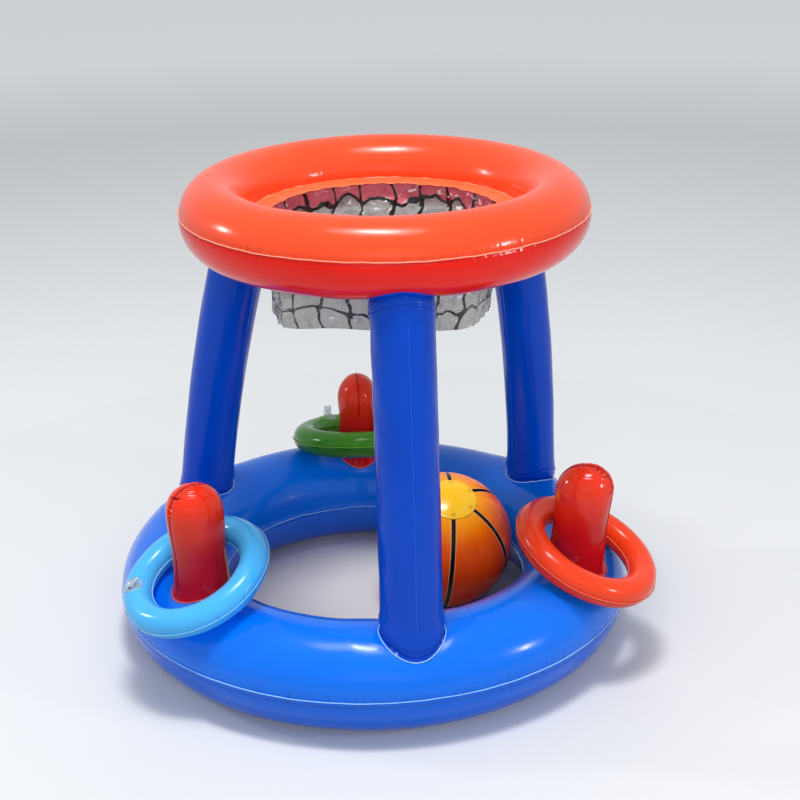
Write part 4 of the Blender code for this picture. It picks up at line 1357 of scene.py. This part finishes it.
def valve_profile(pushed_in):
    thick, long = VALVE_FLANGE_THICKNESS, VALVE_NECK_LENGTH
    rim = ((0.86, thick), (0.97, 0.9 * thick), (1.0, 0.2 * thick), (0.96, -0.0004))
    rim = [(share * VALVE_FLANGE_R, height, True) for share, height in rim]
    if pushed_in:
        return [
            *beside_neck(
                (-0.0017, -long), (-0.0017, 0.0002), (-0.0013, 0.0009), (-0.0002, 0.0010), (0.0003, 0.0002),
                (0.0005, -0.0024), (0.0010, -0.0028), (0.0020, -0.0028), (0.0027, -0.0018),
            ),
            *beside_neck((0.0031, 0.6 * thick), (0.0038, 1.5 * thick), follows=True),
            *rim,
            *beside_neck((0.0037, -0.0002), follows=True),
            *beside_neck((0.0032, -0.0030), (0.0012, -0.0036), (0.0, -0.0040), (0.0, -long)),
        ]
    return [
        *beside_neck(
            (-0.0017, long - 0.0090), (-0.0017, long - 0.0004), (-0.0010, long),
            (-0.0003, long - 0.0001), (0.0, long - 0.0008), (0.0, 0.0030),
        ),
        *beside_neck((0.0006, 0.0012), (0.0020, thick), follows=True),
        *rim,
        *beside_neck((0.0, -0.0008), (-0.0017, -0.0008), follows=True),
    ]


def dress_valve(label, skin, at, axis, body, pushed_in=True):
    """A clear press-in valve with ribs in its well, and its plug with a pull tab."""
    shell = grid_mesh("valve", lathe(at, axis, valve_profile(pushed_in), skin), wrap_v=True)
    parts = [painted(tidy_mesh(shell, sharp=45.0), "valve")]
    if pushed_in:
        values = {
            "Count": 10, "Radius": VALVE_NECK_R + 0.0014, "Length": 0.0022, "Thickness": 0.0005,
            "Height": 0.0012, "Material": MATERIALS["valve"],
        }
        ribs = run_tree(RIB_TREE, bpy.data.meshes.new("rib source"), values)
        turn = Matrix((*valve_axes(axis), axis)).transposed().to_4x4()
        ribs.transform(Matrix.Translation(Vector(at - axis * 0.0022)) @ turn)
        parts.append(tidy_mesh(ribs, merge=1e-7, sharp=40.0))
    show("valve_" + label, "_shell", parts, body)
    dress_plug("plug_" + label, at, axis, pushed_in)


def dress_plug(name, at, axis, pushed_in):
    """A plug: a stem in the neck, a dished head and a tab to pull it by."""
    seat = VALVE_SEAT + VALVE_FLANGE_THICKNESS if pushed_in else VALVE_NECK_LENGTH
    low = seat + 0.0003
    high = low + PLUG_HEAD_THICKNESS
    bore = VALVE_NECK_R - 0.0020
    profile = (
        (0.0, seat - 0.0075), (0.6 * bore, seat - 0.0074), (bore, seat - 0.0058), (bore, low),
        (PLUG_HEAD_R - 0.0003, low), (PLUG_HEAD_R, low + 0.0003), (PLUG_HEAD_R, high - 0.0006),
        (PLUG_HEAD_R - 0.0004, high - 0.0001), (PLUG_HEAD_R - 0.0011, high),
        (PLUG_HEAD_R - 0.0015, high - 0.0006), (0.0012, high - 0.0007), (0.0009, high - 0.0002),
        (0.0, high - 0.0001),
    )
    profile = [(radius, height, False) for radius, height in profile]
    head = tidy_mesh(grid_mesh("plug", lathe(at, axis, profile, steps=48)), sharp=45.0)
    first, second = valve_axes(axis)
    way = second * (1.0 if second[2] >= -1e-6 else -1.0)
    reach = PLUG_HEAD_R + PLUG_TAB_LENGTH
    stops = (
        (0.6, 0.0016), (0.9, 0.0015), (1.15, 0.0013), (1.5, 0.0014),
        (1.8, 0.0017), (1.98, 0.0012), (2.04, 0.0002),
    )
    section = ((1, 0.2), (0.8, 1), (-0.8, 1), (-1, 0.2), (-0.8, -0.7), (0.8, -0.7))
    rows = []
    for share, half in stops:
        centre = at + way * (share / 2.04 * reach) + axis * (low + 0.0005)
        rows.append([centre + first * (u * half) + axis * (v * 0.0005) for u, v in section])
    tab = grid_mesh("tab", np.array(rows).transpose(1, 0, 2))
    work = bmesh.new()
    work.from_mesh(tab)
    bmesh.ops.holes_fill(work, edges=[edge for edge in work.edges if edge.is_boundary], sides=0)
    work.to_mesh(tab)
    work.free()
    tidy_mesh(tab, sharp=45.0)
    show(name, "_shell", [painted(head, "plug"), painted(tab, "plug")], name)


def dress_valves():
    for label, skin, place in (("base", BASE, BASE_VALVE), ("hoop", HOOP, HOOP_VALVE)):
        turn, rise = np.radians(place)
        dress_valve(label, skin, skin.at(turn, rise), skin.normal(turn, rise), "frame")
    for ring in TOSS_RINGS:
        skin = toss_skin(ring)
        turn, rise = math.radians(ring.valve_azimuth - ring.azimuth), 0.5 * math.pi
        label = "ring_" + ring.name
        dress_valve(label, skin, skin.at(turn, rise), skin.normal(turn, rise), label, ring.pushed_in)
    axis, skin = ball_valve_axis(), BallSkin(middle_of("ball"), 0.5 * BALL_D)
    dress_valve("ball", skin, skin.centre + axis * skin.radius, axis, "ball")


# Floor, light and camera


def seen_directly(tree):
    """1 for rays from the camera, a mirror or clear film, and 0 for soft light."""
    path = add(tree, "ShaderNodeLightPath")
    seen = reckon("MAXIMUM", path["Is Camera Ray"], path["Is Glossy Ray"])
    return reckon("MAXIMUM", seen, path["Is Transmission Ray"])


def make_floor():
    """A pale floor that throws less light back up than it shows."""
    bpy.ops.mesh.primitive_plane_add(size=40.0, location=(0.0, 6.0, 0.0))
    floor = bpy.context.object
    floor.name = "studio_floor"
    material = bpy.data.materials.new("pale floor")
    material.use_nodes = True
    tree = material.node_tree
    seen = seen_directly(tree)
    spot = {0: add(tree, "ShaderNodeNewGeometry")["Position"]}
    off = add(tree, "ShaderNodeVectorMath", spot, operation="LENGTH")["Value"] - FLOOR_NEAR
    shown = mix((off / FLOOR_FADE).clamped(), (0.78, 0.79, 0.80), (0.16, 0.165, 0.17))
    glow = reckon("POWER", (off / FLOOR_GLOW_REACH).clamped(), 0.7) * FLOOR_GLOW
    feed(tree.nodes["Principled BSDF"].inputs, {
        "Base Color": mix(seen, (0.42, 0.45, 0.48), shown),
        "Roughness": 0.85,
        "Specular IOR Level": 0.2,
        "Emission Color": (0.96, 0.98, 1.0),
        "Emission Strength": glow * seen,
    })
    floor.data.materials.append(material)


def area_light(name, at, size, power):
    """A soft light that looks at the middle of the toy."""
    data = bpy.data.lights.new(name, "AREA")
    data.shape = "ELLIPSE"
    data.size, data.size_y = size
    data.energy = power
    lamp = bpy.data.objects.new(name, data)
    lamp.location = at
    lamp.rotation_euler = (Vector((0.0, 0.0, 0.3)) - Vector(at)).to_track_quat("-Z", "Y").to_euler()
    bpy.context.scene.collection.objects.link(lamp)
    return lamp


def make_light():
    world = bpy.data.worlds.new("soft sky")
    world.use_nodes = True
    strength = seen_directly(world.node_tree) * (SKY_SEEN - SKY_GIVEN) + SKY_GIVEN
    inputs = {"Color": (0.90, 0.96, 1.0), "Strength": strength}
    feed(world.node_tree.nodes["Background"].inputs, inputs)
    bpy.context.scene.world = world
    area_light("overhead softbox", (-0.08, -0.42, 3.1), (0.76, 0.48), 34.0)
    area_light("overhead glow", (-0.08, -0.43, 3.16), (1.6, 1.25), 24.0)
    area_light("left softbox", (-2.3, 0.25, 1.25), (0.30, 0.30), 9.0)
    area_light("right softbox", (2.3, -0.95, 0.95), (0.30, 0.30), 9.0)
    area_light("front fill", (0.3, -3.6, 1.7), (2.6, 1.3), 46.0).visible_glossy = False
    area_light("back fill", (0.2, 2.8, 2.4), (2.2, 1.6), 12.0).visible_glossy = False


def make_camera():
    data = bpy.data.cameras.new("photo camera")
    data.sensor_width = 36.0
    data.lens = 85.79
    camera = bpy.data.objects.new("photo camera", data)
    spot = Matrix.Translation(Vector(FLOAT_AT + np.array([0.1192, -2.0685, 1.1504])))
    yaw = Matrix.Rotation(math.radians(2.317), 4, "Z")
    pitch = Matrix.Rotation(math.radians(90.0 - 22.641), 4, "X")
    roll = Matrix.Rotation(math.radians(-1.013), 4, "Z")
    camera.matrix_world = spot @ yaw @ pitch @ roll
    bpy.context.scene.collection.objects.link(camera)
    bpy.context.scene.camera = camera


def main():
    dress_float_and_hoop()
    for number, leg in enumerate(zip(LEGS, LEG_PRINTS, TOP_PRINTS)):
        dress_leg(*leg, 100 + 20 * number)
    for number, peg in enumerate(zip(PEGS, PEG_PRINTS)):
        dress_peg(*peg, 200 + 20 * number)
    for number, ring in enumerate(TOSS_RINGS):
        dress_toss_ring(ring, 300 + 20 * number)
    dress_ball()
    dress_band()
    dress_net()
    dress_valves()
    make_floor()
    make_light()
    make_camera()
    bpy.context.scene.view_settings.view_transform = "Standard"


main()
